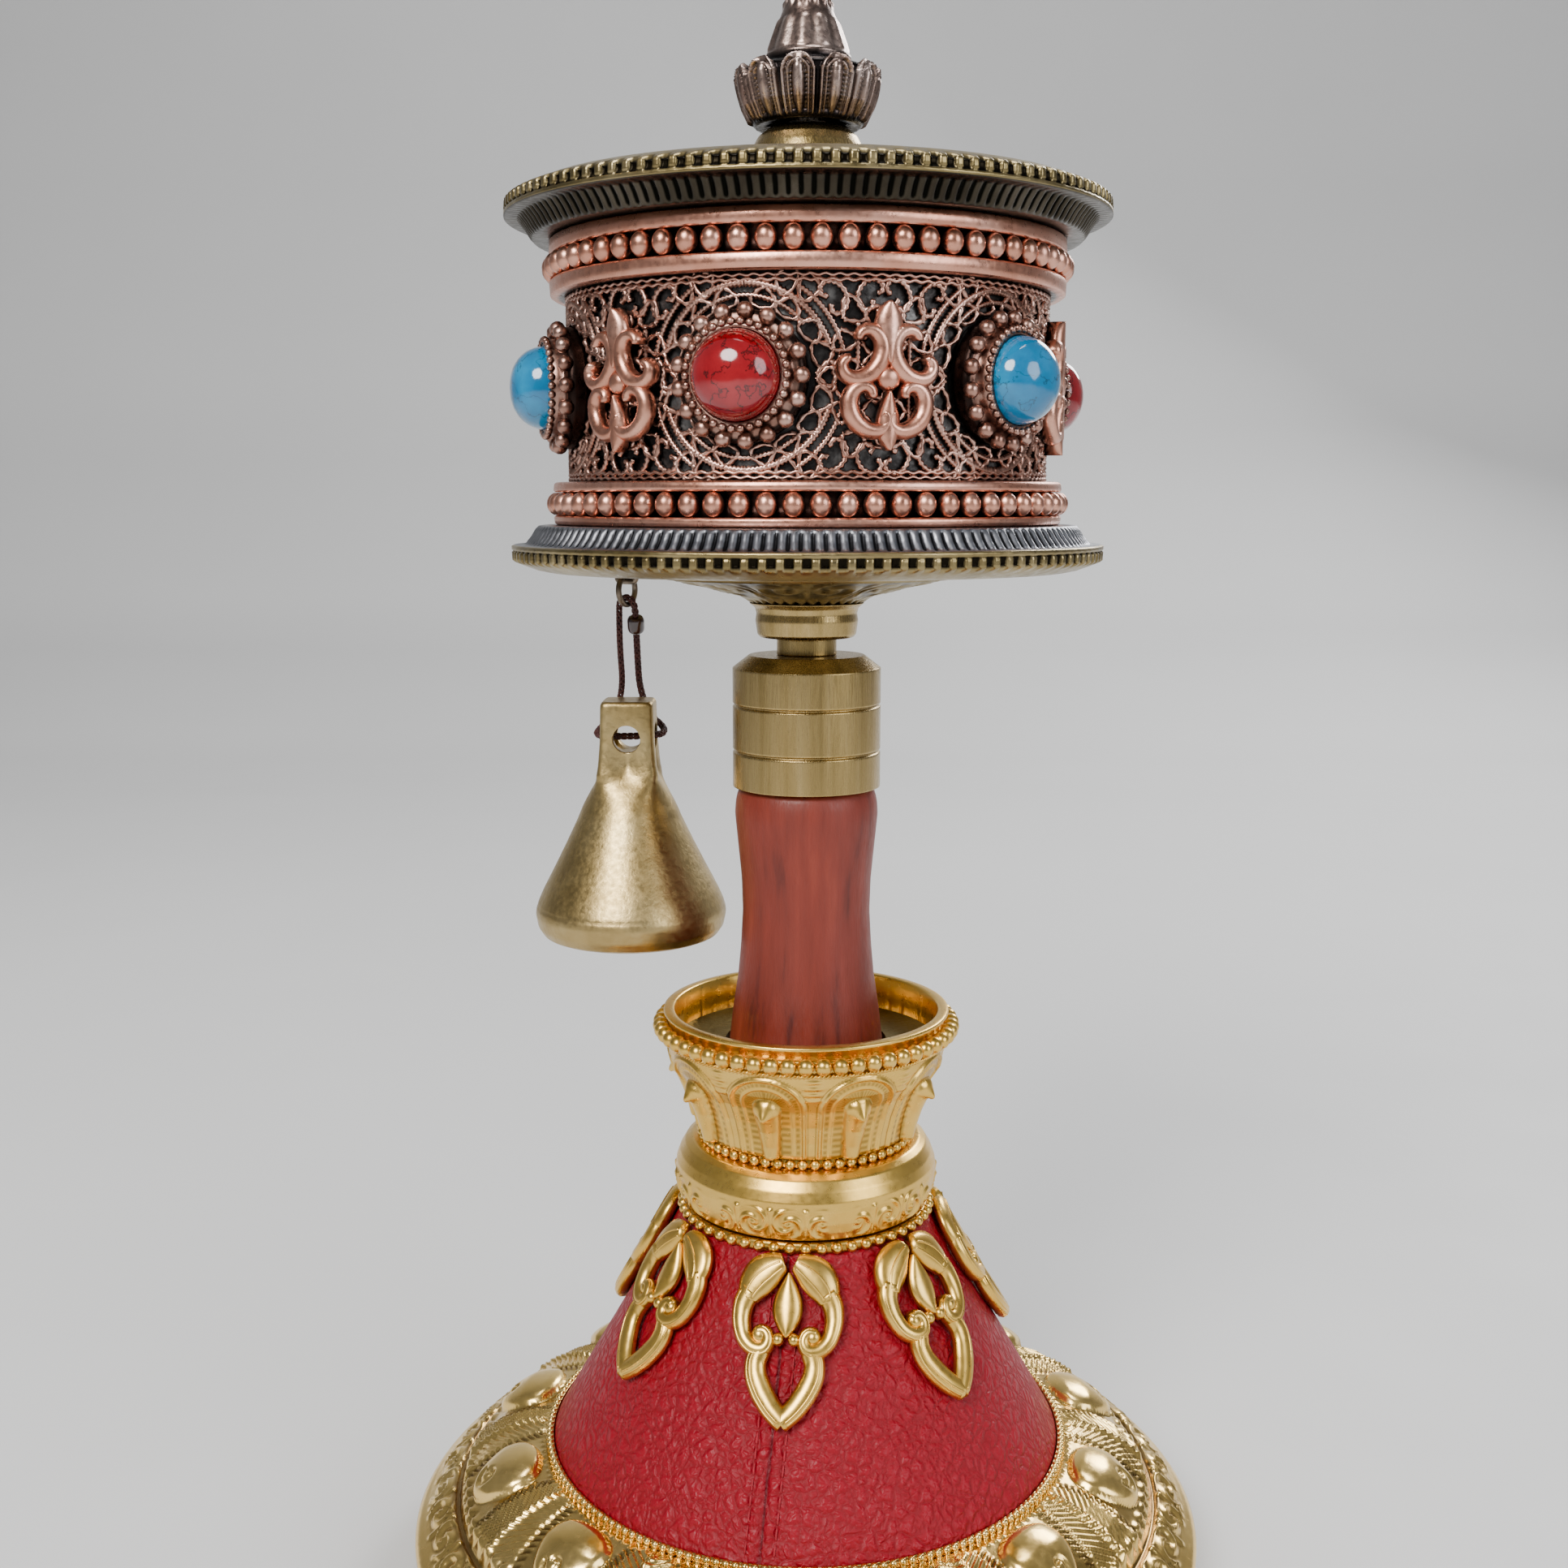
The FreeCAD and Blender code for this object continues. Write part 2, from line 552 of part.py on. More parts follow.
can, face = size("can_radius"), size("plate_face")
low_face, high_face = middle - face, middle + face
panel_low, panel_high = size("panel_low_z"), size("panel_high_z")
turned("drum_shell", ring_of(low_face + 0.02, high_face - 0.02, can - size("can_wall"), can))
turned("filigree_sleeve", ring_of(panel_low, panel_high, can + 0.03, size("sleeve_radius")))


def bead_band(name, low, high):
    """Copper band: two rails with a groove between them, full of large beads."""
    rail, step = float(size("band_rail_radius")), 0.62
    ring, radius = float(size("band_bead_ring")), float(size("band_bead_radius"))
    inner = float(can) + 0.03
    low, high = float(low), float(high)
    hollow = (high - low) / 2 - step
    band = Part.makeCylinder(rail, high - low, Vector(0, 0, low))
    groove = Part.makeCylinder(rail + 1, hollow * 2, Vector(0, 0, low + step)).cut(
        Part.makeCylinder(rail - 0.9, hollow * 2, Vector(0, 0, low + step)))
    count = int(size("band_bead_count"))
    beads = ring_of_balls(ring, radius, count, (low + high) / 2)
    bore = Part.makeCylinder(inner, high - low + 2, Vector(0, 0, low - 1))
    piece = doc.addObject("Part::Feature", name)
    piece.Shape = band.cut(bore).cut(groove).multiFuse(beads)
    keep(piece, name)


bead_band("lower_band", low_face + 0.03, panel_low - 0.03)
bead_band("upper_band", panel_high + 0.03, high_face - 0.03)

# ---------------------------------------------------------------- drum: hubs, bushes, core

dish_far, seat = size("dish_far"), size("hub_seat_radius")
bush, spigot = size("bush_radius"), size("spigot_radius")
low_seat, high_seat = middle - dish_far, middle + dish_far
reach = size("spigot_length")
turned("lower_hub", [
    (bush + fixed, size("hub_foot_z")), (size("hub_foot_radius"), size("hub_foot_z")),
    (size("hub_belly_radius"), size("hub_belly_z")),
    (size("hub_waist_radius"), size("hub_waist_z")),
    (size("hub_flare_radius"), low_seat - 0.02, -3.0),
    (spigot, low_seat - 0.02), (spigot, low_seat + reach), (bush + fixed, low_seat + reach)])
turned("upper_cap", [
    (bush + fixed, high_seat - reach), (spigot, high_seat - reach),
    (spigot, high_seat + 0.02), (size("hub_flare_radius"), high_seat + 0.02),
    (size("hub_belly_radius"), size("cap_shoulder_z"), -8.0),
    (bush + fixed, size("cap_top_z"), 4.6)])
turned("lower_bush", ring_of(size("hub_foot_z") + 0.05, low_seat + reach - 0.1,
                             pin + running, bush))
turned("upper_bush", ring_of(high_seat - reach + 0.1, size("cap_top_z") - 0.6,
                             pin + running, bush))
core = size("core_radius")
turned("core_tube", ring_of(low_seat + reach + 0.1, high_seat - reach - 0.1,
                            core - size("core_wall"), core))
turned("scripture_roll", ring_of(low_face + size("paper_margin"),
                                 high_face - size("paper_margin"), core + 0.05,
                                 size("paper_radius")))

# ---------------------------------------------------------------- drum: stones, ornaments


def facing(degrees):
    """Turns a piece built along +Z, at the drum's axis, to stand out of the drum's side."""
    return Placement(Vector(0, 0, size("stone_z")),
                     Rotation(UP, float(degrees)) * Rotation(Vector(0, 1, 0), 90))


def stone_settings_and_stones():
    """Six beaded bezels on the sleeve and the high-domed stone that each one holds."""
    drum = Part.makeCylinder(float(size("sleeve_radius")) + 0.03, 80,
                             Vector(0, 0, float(size("stone_z")) - 40))
    root = float(size("sleeve_radius")) - 2
    flange_top, bezel_top = float(size("flange_top")), float(size("bezel_top"))
    seat_z, girdle = float(size("stone_seat")), float(size("stone_girdle"))
    stone_r, tip = float(size("stone_radius")), float(size("stone_tip"))
    flange = Part.makeCylinder(float(size("flange_radius")), flange_top - root,
                               Vector(0, 0, root))
    wall = Part.makeCylinder(float(size("bezel_radius")), bezel_top - root,
                             Vector(0, 0, root))
    pocket = Part.makeCylinder(stone_r + 0.03, 8, Vector(0, 0, seat_z))
    bezel = flange.fuse(wall).cut(pocket).removeSplitter()
    count = int(size("stone_count"))
    first = float(size("stone_first_angle"))
    turns = [first + 360.0 * i / count for i in range(count)]
    settings = doc.addObject("Part::Feature", "stone_settings")
    placed = []
    for angle in turns:
        one = bezel.copy()
        one.Placement = facing(angle)
        placed.append(one.cut(drum).Solids[0])
    settings.Shape = Part.makeCompound(placed)
    keep(settings, "stone_settings")
    dome = Part.makeSphere(1.0)
    stretch = FreeCAD.Matrix()
    stretch.scale(stone_r, stone_r, tip - girdle)
    dome = dome.transformGeometry(stretch)
    dome.translate(Vector(0, 0, girdle))
    upper = Part.makeBox(20, 20, 20, Vector(-10, -10, girdle))
    girdle_band = Part.makeCylinder(stone_r, girdle - seat_z - 0.02,
                                    Vector(0, 0, seat_z + 0.02))
    stone = girdle_band.fuse(dome.common(upper)).removeSplitter()
    for i, angle in enumerate(turns):
        piece = doc.addObject("Part::Feature", f"stone_{i + 1}")
        piece.Shape = stone
        piece.Placement = facing(angle)
        keep(piece, f"stone_{i + 1}")
    return turns


def ornaments(turns):
    """Raised copper flowers between the stones, curved to lie on the sleeve."""
    near, far = float(size("sleeve_radius")) + 0.03, float(size("ornament_reach"))
    tall, wide = float(size("ornament_height")) / 2, float(size("ornament_width")) / 2
    mid = float(size("stone_z"))
    shell = Part.makeCylinder(far, tall * 3, Vector(0, 0, mid - tall * 1.5)).cut(
        Part.makeCylinder(near, tall * 3, Vector(0, 0, mid - tall * 1.5)))
    leaf = [(0, mid + tall), (wide * 0.35, mid + tall * 0.62), (wide * 0.8, mid + tall * 0.5),
            (wide, mid + tall * 0.1), (wide * 0.55, mid - tall * 0.22),
            (wide * 0.8, mid - tall * 0.6), (wide * 0.3, mid - tall * 0.78),
            (0, mid - tall)]
    solid = relief([loop(mirrored(leaf))], 20.0, 40.0).common(shell)
    between = 180.0 / len(turns)
    for i, angle in enumerate(turns):
        name = f"ornament_{i + 1}"
        piece = doc.addObject("Part::Feature", name)
        piece.Shape = solid
        piece.Placement = round_z(angle + between)
        keep(piece, name)


ornaments(stone_settings_and_stones())

# ---------------------------------------------------------------- weight

weight_turn = math.radians(size("weight_angle"))
OUTWARD = Vector(math.cos(weight_turn), math.sin(weight_turn), 0)
HANG = OUTWARD * float(size("weight_reach"))
RIGHT, BACK = Vector(1, 0, 0), Vector(0, 1, 0)


def bent_wire(points, radii, wire_radius):
    """A round wire along straight runs that are joined by tangent arcs."""
    edges, start = [], points[0]
    for before, corner, after, radius in zip(points, points[1:], points[2:], radii):
        into, out = (corner - before).normalize(), (after - corner).normalize()
        turn = into.getAngle(out)
        trim = radius * math.tan(turn / 2)
        first, last = corner - into * trim, corner + out * trim
        middle_way = (out - into).normalize()
        middle = corner + middle_way * (radius / math.cos(turn / 2) - radius)
        edges.append(Part.LineSegment(start, first).toShape())
        edges.append(Part.Arc(first, middle, last).toShape())
        start = last
    edges.append(Part.LineSegment(start, points[-1]).toShape())
    path = Part.Wire(edges)
    way = (points[1] - points[0]).normalize()
    section = Part.Wire(Part.Circle(points[0], way, wire_radius).toShape())
    tube = path.makePipeShell([section], True, False)
    return tube, path.Length


def staple_and_ring():
    """The wire staple under the lower plate, and the ring that hangs in it."""
    wire, span = float(size("staple_wire")), float(size("staple_half_span"))
    bar_z = float(size("staple_bar_z"))
    under = float(middle - size("plate_flat"))
    foot_top, foot = under - 0.02, float(size("staple_foot"))
    legs_z = foot_top - foot * 0.5
    corners = [HANG - OUTWARD * span + UP * legs_z, HANG - OUTWARD * span + UP * bar_z,
               HANG + OUTWARD * span + UP * bar_z, HANG + OUTWARD * span + UP * legs_z]
    bow, _ = bent_wire(corners, [wire * 1.3] * 2, wire)
    disc = Part.makeCylinder(float(size("staple_foot_radius")), foot,
                             HANG + UP * (foot_top - foot))
    staple = doc.addObject("Part::Feature", "weight_staple")
    staple.Shape = disc.fuse(bow)
    keep(staple, "weight_staple")
    ring = doc.addObject("Part::Torus", "swivel_ring")
    bind(ring, "Radius1", size("ring_radius"))
    bind(ring, "Radius2", size("ring_wire"))
    ring.Placement = Placement(HANG + UP * float(size("ring_centre_z")),
                               Rotation(UP, OUTWARD))
    keep(ring, "swivel_ring")


def cord_route():
    """Corners of the cord's centreline, and the two ends of the bead that hides its knot.
    From the bead it goes up and over the ring, down behind the bell's neck, round the neck,
    through the side-to-side eye, and back up to the bead."""
    eye = float(size("eye_z"))
    crest = (float(size("ring_centre_z")) - float(size("ring_radius"))
             + float(size("ring_wire")) + float(size("cord_radius")) + 0.05)
    crest -= eye
    loop_half = OUTWARD * 1.25
    around = [(-1.3, 2.1, crest - 7.1), (-1.2, 4.75, 6.1), (-2.5, 4.45, 2.3),
              (-4.7, 4.35, 0.4), (-4.65, 0.3, -0.1), (0.0, -0.25, 0.0), (4.65, 0.3, 0.1),
              (4.7, 4.35, 0.6), (2.4, 4.45, 2.5), (1.1, 4.75, 6.3), (1.0, 3.6, 10.2)]
    over = [loop_half * -1 + UP * crest, loop_half + UP * crest,
            loop_half * 1.06 + UP * (crest - 2.5)]
    route = over + [RIGHT * x + BACK * y + UP * z for x, y, z in around]
    way_up = over[0] - route[-1]
    bead_top = route[-1] + way_up * ((crest - 2.55 - 10.2) / way_up.z)
    half = way_up.normalize() * float(size("bead_half_length"))
    ends = [bead_top, bead_top - half * 2]
    centre = HANG + UP * eye
    return ([centre + p for p in [ends[0], *route, ends[1]]],
            centre + bead_top - half, half)


def cord_and_bead():
    """The braided cord as one plain tube, and the glossy bead over its knot."""
    route, bead_centre, half = cord_route()
    radii = []
    for before, corner, after in zip(route, route[1:], route[2:]):
        into, out = corner - before, after - corner
        turn = into.getAngle(out)
        radii.append(0.45 * min(into.Length, out.Length) / math.tan(turn / 2))
    radius = float(size("cord_radius"))
    tube, length = bent_wire(route, radii, radius)
    section = math.pi * radius ** 2
    print("cord radii", [round(r, 2) for r in radii], "length", round(length, 2),
          "volume ratio", round(tube.Volume / (section * length), 4))
    print("cord route", [tuple(round(c, 2) for c in p) for p in route])
    cord = doc.addObject("Part::Feature", "weight_cord")
    cord.Shape = tube
    keep(cord, "weight_cord")
    bead_r, long = float(size("bead_radius")), half.Length
    flank = [(0, -1), (0.5, -1), (0.85, -0.6), (1, 0), (0.85, 0.6), (0.5, 1), (0, 1), (0, -1)]
    profile = Part.makePolygon([Vector(x * bead_r, 0, z * long) for x, z in flank])
    bead = doc.addObject("Part::Feature", "cord_bead")
    bead.Shape = Part.Face(profile).revolve(MID_AIR, UP, 360)
    bead.Placement = Placement(bead_centre, Rotation(UP, half))
    keep(bead, "cord_bead")


def bell():
    """Solid bell-shaped weight: turned, its neck milled flat on four sides, cross-drilled."""
    body = turned("weight_bell", [
        (0, size("bell_foot_z")), (size("bell_radius") - 1.4, size("bell_foot_z")),
        (size("bell_radius"), size("bell_belly_z"), 4.2),
        (size("bell_radius") - 1.6, size("bell_belly_z") + 5.3, 7.5),
        (size("bell_waist_radius"), size("bell_waist_z"), -70.0),
        (size("bell_neck_radius"), size("bell_waist_z") + 3.0),
        (size("bell_neck_radius"), size("bell_top_z")), (0, size("bell_top_z"))])
    flat, start = size("neck_flat"), size("neck_flat_z")
    side_sketch = new_sketch(body, "neck_flat_outline", "XZ_Plane")
    outline(side_sketch, [(flat, start + 1.2), (flat + 1.2, start, 1.4), (flat + 4, start),
                          (flat + 4, size("bell_top_z") + 1), (flat, size("bell_top_z") + 1)])
    side = body.newObject("PartDesign::Pocket", "neck_side")
    side.Profile = side_sketch
    bind(side, "Length", flat * 4)
    side.Midplane = True
    body.Tip = side
    doc.recompute()
    polar(body, side, 4, "neck_flats")
    eye_sketch = new_sketch(body, "eye_outline", "XZ_Plane")
    eye_sketch.addGeometry(Part.Circle(Vector(0, size("eye_z"), 0), UP,
                                       float(size("eye_radius"))), False)
    eye_sketch.addConstraint(Sketcher.Constraint("PointOnObject", 0, 3, -2))
    height = eye_sketch.addConstraint(
        Sketcher.Constraint("DistanceY", -1, 1, 0, 3, float(size("eye_z"))))
    eye_sketch.setExpression(f"Constraints[{height}]", size("eye_z").text)
    across = eye_sketch.addConstraint(
        Sketcher.Constraint("Radius", 0, float(size("eye_radius"))))
    eye_sketch.setExpression(f"Constraints[{across}]", size("eye_radius").text)
    eye = body.newObject("PartDesign::Pocket", "eye")
    eye.Profile = eye_sketch
    bind(eye, "Length", flat * 4)
    eye.Midplane = True
    body.Tip = eye
    doc.recompute()
    polar(body, eye, 4, "eyes")
    body.Placement = Placement(HANG, Rotation())


staple_and_ring()
cord_and_bead()
bell()

# ---------------------------------------------------------------- check and export

doc.recompute()
for thing in doc.Objects:
    if "Invalid" in thing.State or "Error" in thing.State:
        raise RuntimeError(f"{thing.Label} failed: {thing.State}")
os.makedirs("parts", exist_ok=True)
for piece in PIECES:
    shape = piece.Shape
    if shape.isNull() or not shape.isValid() or not shape.Solids:
        raise RuntimeError(f"{piece.Label} has no valid shape")
    shape.exportStep(f"parts/{piece.Label}.step")
    print(f"{piece.Label:16s} solids {len(shape.Solids)} volume {shape.Volume:10.2f}")
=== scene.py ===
import bpy
import math
import numpy as np
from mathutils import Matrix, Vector


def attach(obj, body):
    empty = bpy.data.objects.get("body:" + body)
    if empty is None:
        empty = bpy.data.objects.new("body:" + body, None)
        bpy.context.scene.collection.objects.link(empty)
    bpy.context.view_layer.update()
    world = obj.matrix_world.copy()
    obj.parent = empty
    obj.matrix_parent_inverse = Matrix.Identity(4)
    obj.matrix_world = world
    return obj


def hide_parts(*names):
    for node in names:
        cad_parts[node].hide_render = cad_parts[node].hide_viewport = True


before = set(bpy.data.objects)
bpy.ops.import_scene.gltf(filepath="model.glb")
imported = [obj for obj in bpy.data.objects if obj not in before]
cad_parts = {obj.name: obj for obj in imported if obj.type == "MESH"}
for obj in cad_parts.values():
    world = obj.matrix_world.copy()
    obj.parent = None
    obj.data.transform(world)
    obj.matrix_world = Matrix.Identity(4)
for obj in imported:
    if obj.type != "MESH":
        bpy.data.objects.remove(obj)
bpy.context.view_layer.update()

# Camera: a short normal lens close to the wheel, a little above the middle of the handle,
# looking slightly down and a touch to the left of the spindle.
camera_data = bpy.data.cameras.new("camera")
camera_data.lens = 39.83
camera_data.sensor_width = 36.0
camera_data.clip_start = 0.01
camera = bpy.data.objects.new("camera", camera_data)
camera.location = (0.0, -0.225, 0.147)
camera.rotation_euler = (math.radians(90 - 9.35), 0.0, math.radians(0.75))
bpy.context.scene.collection.objects.link(camera)
bpy.context.scene.camera = camera


# Cord of the weight: a dark maroon braid of eight fine strands. It leaves a small bead, goes
# over the swivel ring, round the neck of the weight, through its eye and back to the bead.
def add_mesh(name, points, faces, body, relief=None):
    """A smooth mesh from points in millimetres and four-cornered faces, riding on a body.
    relief, from 0 in the hollows to 1 on the high parts, is kept for the material's painted
    shade."""
    mesh = bpy.data.meshes.new(name)
    mesh.from_pydata(np.asarray(points).reshape(-1, 3) * 0.001, [], np.asarray(faces))
    mesh.polygons.foreach_set("use_smooth", np.ones(len(mesh.polygons), bool))
    if relief is not None:
        layer = mesh.attributes.new("relief", "FLOAT", "POINT")
        layer.data.foreach_set("value", np.asarray(relief, np.float32).ravel())
    mesh.update()
    piece = bpy.data.objects.new(name, mesh)
    bpy.context.scene.collection.objects.link(piece)
    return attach(piece, body)


def grid_faces(rows, columns, closed_rows=False, cap_low=False, cap_high=False):
    """Faces of a grid whose columns close round. A cap fills an end row from side to side."""
    count = rows if closed_rows else rows - 1
    i, j = np.meshgrid(np.arange(count), np.arange(columns), indexing="ij")
    up, over = (i + 1) % rows, (j + 1) % columns
    parts = [np.stack([i * columns + j, i * columns + over, up * columns + over,
                       up * columns + j], -1).reshape(-1, 4)]
    k = np.arange(columns // 2 - 1)
    across = np.stack([k, k + 1, columns - 2 - k, columns - 1 - k], -1)
    if cap_low:
        parts.append(across[:, ::-1])
    if cap_high:
        parts.append(across + (rows - 1) * columns)
    return np.concatenate(parts)


def copies(faces, places):
    """One shape repeated: places has the points of each copy, and the faces of each copy
    count on from those of the copy before."""
    places = np.asarray(places)
    step = np.arange(len(places))[:, None, None] * places.shape[1]
    return places.reshape(-1, 3), (np.asarray(faces)[None] + step).reshape(-1, 4)


def unit(vectors):
    """Each vector divided by its length."""
    return vectors / np.linalg.norm(vectors, axis=-1, keepdims=True)


def round_angles(count):
    """Equal steps of angle that make one full turn, in radians."""
    return np.arange(count) * 2 * np.pi / count


def directions(angle):
    """Unit vectors that point away from Z at these angles: (cosine, sine, 0)."""
    return np.stack([np.cos(angle), np.sin(angle), 0 * angle], -1)


def tube(path, wide, thick, up, sides=8):
    """Round or oval tube along a path: wide is its half width across up, thick along up."""
    path = np.asarray(path, float)
    along = unit(np.gradient(path, axis=0))
    across = unit(np.cross(up, along))
    over = np.cross(along, across)
    angle = round_angles(sides)
    wide, thick = (np.broadcast_to(v, len(path))[:, None, None] for v in (wide, thick))
    points = (path[:, None] + across[:, None] * wide * np.cos(angle)[None, :, None]
              + over[:, None] * thick * np.sin(angle)[None, :, None])
    return points, grid_faces(len(path), sides, cap_low=True, cap_high=True)


def add_node(nodes, kind, values=(), **settings):
    """A shader node of a kind, with its settings and the constants on its inputs."""
    node = nodes.new("ShaderNode" + kind)
    for name, value in settings.items():
        setattr(node, name, value)
    for name, value in dict(values).items():
        node.inputs[name].default_value = value
    return node


def effect_group(name, inputs, outputs, kinds):
    """A shader node group for an effect of several finishes. inputs and outputs name its
    sockets, and kinds says which of them aren't plain numbers."""
    group = bpy.data.node_groups.new(name, "ShaderNodeTree")
    for way, labels in (("INPUT", inputs), ("OUTPUT", outputs)):
        for label in labels:
            group.interface.new_socket(label, in_out=way, socket_type="NodeSocket"
                                       + kinds.get(label, "Float"))
    nodes = group.nodes
    return (group, nodes, nodes.new("NodeGroupInput").outputs,
            nodes.new("NodeGroupOutput").inputs)


def link_all(tree, pairs):
    """Links each pair of sockets: where a value comes from, and where it goes."""
    for source, target in pairs:
        tree.links.new(source, target)


grain_effect, nodes, given, shown = effect_group(
    "clouds_and_grain", ["Size", "Stretch", "Smoothest", "Roughest"],
    ["Clouds", "Grain", "Roughness"], {"Stretch": "Vector"})
coordinates = add_node(nodes, "TexCoord")
mapping = add_node(nodes, "Mapping")
finer = add_node(nodes, "Math", {1: 9.0}, operation="MULTIPLY")
clouds = add_node(nodes, "TexNoise", {"Detail": 6.0})
grain = add_node(nodes, "TexNoise", {"Detail": 3.0})
uneven = add_node(nodes, "MapRange", {"From Min": 0.3, "From Max": 0.7})
link_all(grain_effect, [
    (coordinates.outputs["Object"], mapping.inputs["Vector"]),
    (given["Stretch"], mapping.inputs["Scale"]),
    (mapping.outputs["Vector"], clouds.inputs["Vector"]),
    (mapping.outputs["Vector"], grain.inputs["Vector"]),
    (given["Size"], clouds.inputs["Scale"]), (given["Size"], finer.inputs[0]),
    (finer.outputs["Value"], grain.inputs["Scale"]),
    (grain.outputs["Fac"], uneven.inputs["Value"]),
    (given["Smoothest"], uneven.inputs["To Min"]),
    (given["Roughest"], uneven.inputs["To Max"]),
    (clouds.outputs["Fac"], shown["Clouds"]), (grain.outputs["Fac"], shown["Grain"]),
    (uneven.outputs["Result"], shown["Roughness"])])

# Painted shade: this group mixes a dark shade colour into a colour where the piece's relief
# attribute is low, so hollows, recesses and the feet of raised work are painted dark.
shade_in_hollows_effect, nodes, given, shown = effect_group(
    "painted_hollow_shade", ["Colour", "Painted Shade", "Clouds", "Low", "High"], ["Colour"],
    {"Colour": "Color", "Painted Shade": "Color"})
relief_value = add_node(nodes, "Attribute", attribute_name="relief")
clouded = add_node(nodes, "Math", {1: 0.35}, operation="MULTIPLY_ADD")
share = add_node(nodes, "MapRange")
mix = add_node(nodes, "Mix", data_type="RGBA")
link_all(shade_in_hollows_effect, [
    (given["Clouds"], clouded.inputs[0]), (relief_value.outputs["Fac"], clouded.inputs[2]),
    (clouded.outputs["Value"], share.inputs["Value"]),
    (given["Low"], share.inputs["From Min"]), (given["High"], share.inputs["From Max"]),
    (share.outputs["Result"], mix.inputs["Factor"]), (given["Painted Shade"], mix.inputs["A"]),
    (given["Colour"], mix.inputs["B"]), (mix.outputs["Result"], shown["Colour"])])


def ramp(nodes, links, value, stops):
    """Maps a value to colours given as (position, (red, green, blue))."""
    band = nodes.new("ShaderNodeValToRGB")
    while len(band.color_ramp.elements) < len(stops):
        band.color_ramp.elements.new(0.5)
    for element, (position, colour) in zip(band.color_ramp.elements, stops):
        element.position = position
        element.color = (*colour, 1.0)
    links.new(value, band.inputs["Fac"])
    return band.outputs["Color"]


def blank_material(name):
    """A new material with its node tree and its Principled BSDF."""
    material = bpy.data.materials.new(name)
    material.use_nodes = True
    return material, material.node_tree, material.node_tree.nodes["Principled BSDF"]


def finish_material(name, colour_stops, rough, metallic, size, bump, stretch=(1, 1, 1),
                    coat=0.0, painted_shade=None, painted_shade_range=(0.32, 0.77)):
    """A material with clouded colour, uneven roughness and a fine grain in its surface.
    The colour given for painted shade is mixed in where the piece's relief is low, so its
    hollows and recesses are painted dark."""
    material, tree, shader = blank_material(name)
    surface = add_node(tree.nodes, "Group", {
        "Size": size, "Stretch": stretch, "Smoothest": rough[0], "Roughest": rough[1]},
        node_tree=grain_effect)
    colour = ramp(tree.nodes, tree.links, surface.outputs["Clouds"], colour_stops)
    if painted_shade is not None:
        hollow_shade = add_node(tree.nodes, "Group", {
            "Painted Shade": (*painted_shade, 1.0), "Low": painted_shade_range[0], "High": painted_shade_range[1]},
            node_tree=shade_in_hollows_effect)
        link_all(tree, [(surface.outputs["Clouds"], hollow_shade.inputs["Clouds"]),
                        (colour, hollow_shade.inputs["Colour"])])
        colour = hollow_shade.outputs["Colour"]
    for label, value in (("Metallic", metallic), ("Coat Weight", coat),
                         ("Coat Roughness", 0.12)):
        shader.inputs[label].default_value = value
    raised = add_node(tree.nodes, "Bump", {"Strength": bump, "Distance": 0.0001})
    link_all(tree, [(colour, shader.inputs["Base Color"]),
                    (surface.outputs["Roughness"], shader.inputs["Roughness"]),
                    (surface.outputs["Grain"], raised.inputs["Height"]),
                    (raised.outputs["Normal"], shader.inputs["Normal"])])
    return material


def wear(pieces, material):
    """Gives pieces their material."""
    for piece in pieces:
        piece.data.materials.clear()
        piece.data.materials.append(material)


cord_route = np.array([
    (-23.52, 13.61, 131.05), (-23.49, 12.41, 133.6), (-25.7, 13.58, 133.6),
    (-25.77, 13.62, 131.1), (-25.9, 15.1, 126.5), (-25.8, 17.75, 120.6),
    (-27.1, 17.45, 116.8), (-29.3, 17.35, 114.9), (-29.25, 13.3, 114.4),
    (-24.6, 12.75, 114.5), (-19.95, 13.3, 114.6), (-19.9, 17.35, 115.1),
    (-22.2, 17.45, 117.0), (-23.5, 17.75, 120.8), (-23.6, 16.6, 124.7),
    (-23.55, 14.72, 128.7)]) * 0.001
route_curve = bpy.data.curves.new("cord_line", "CURVE")
route_curve.dimensions = "3D"
route_curve.resolution_u = 24
spline = route_curve.splines.new("NURBS")
spline.points.add(len(cord_route) - 1)
for point, place in zip(spline.points, cord_route):
    point.co = (*place, 1.0)
spline.order_u = 3
spline.use_endpoint_u = True
route_object = bpy.data.objects.new("cord_line", route_curve)
route_mesh = bpy.data.meshes.new_from_object(route_object)
line = np.array([v.co for v in route_mesh.vertices]) * 1000
bpy.data.objects.remove(route_object)
steps = np.r_[0, np.cumsum(np.linalg.norm(np.diff(line, axis=0), axis=1))]
cord_length = steps[-1]
cord_s = np.linspace(0, cord_length, 420)
cord_line = np.stack([np.interp(cord_s, steps, line[:, k]) for k in range(3)], -1)
way = unit(np.gradient(cord_line, axis=0))
side = np.zeros_like(way)
side[0] = unit(np.cross(way[0], (0.0, 0.3, 1.0)))
for i in range(1, len(way)):
    side[i] = unit(side[i - 1] - way[i] * (side[i - 1] @ way[i]))
other = np.cross(way, side)
strand_radius, braid_pitch = 0.135, 3.4
strands = []
for k in range(8):
    hand, phase = (1 if k % 2 else -1), (k // 2) * math.pi / 2
    turn = hand * cord_s * 2 * math.pi / braid_pitch + phase + (0.4 if k % 2 else 0)
    weave = 0.33 + 0.05 * np.cos(turn * 4 * hand)
    out = side * np.cos(turn)[:, None] + other * np.sin(turn)[:, None]
    strands.append(tube(cord_line + out * weave[:, None], strand_radius, strand_radius,
                        out, 6))
cord_points, cord_faces = copies(strands[0][1], [s[0].reshape(-1, 3) for s in strands])
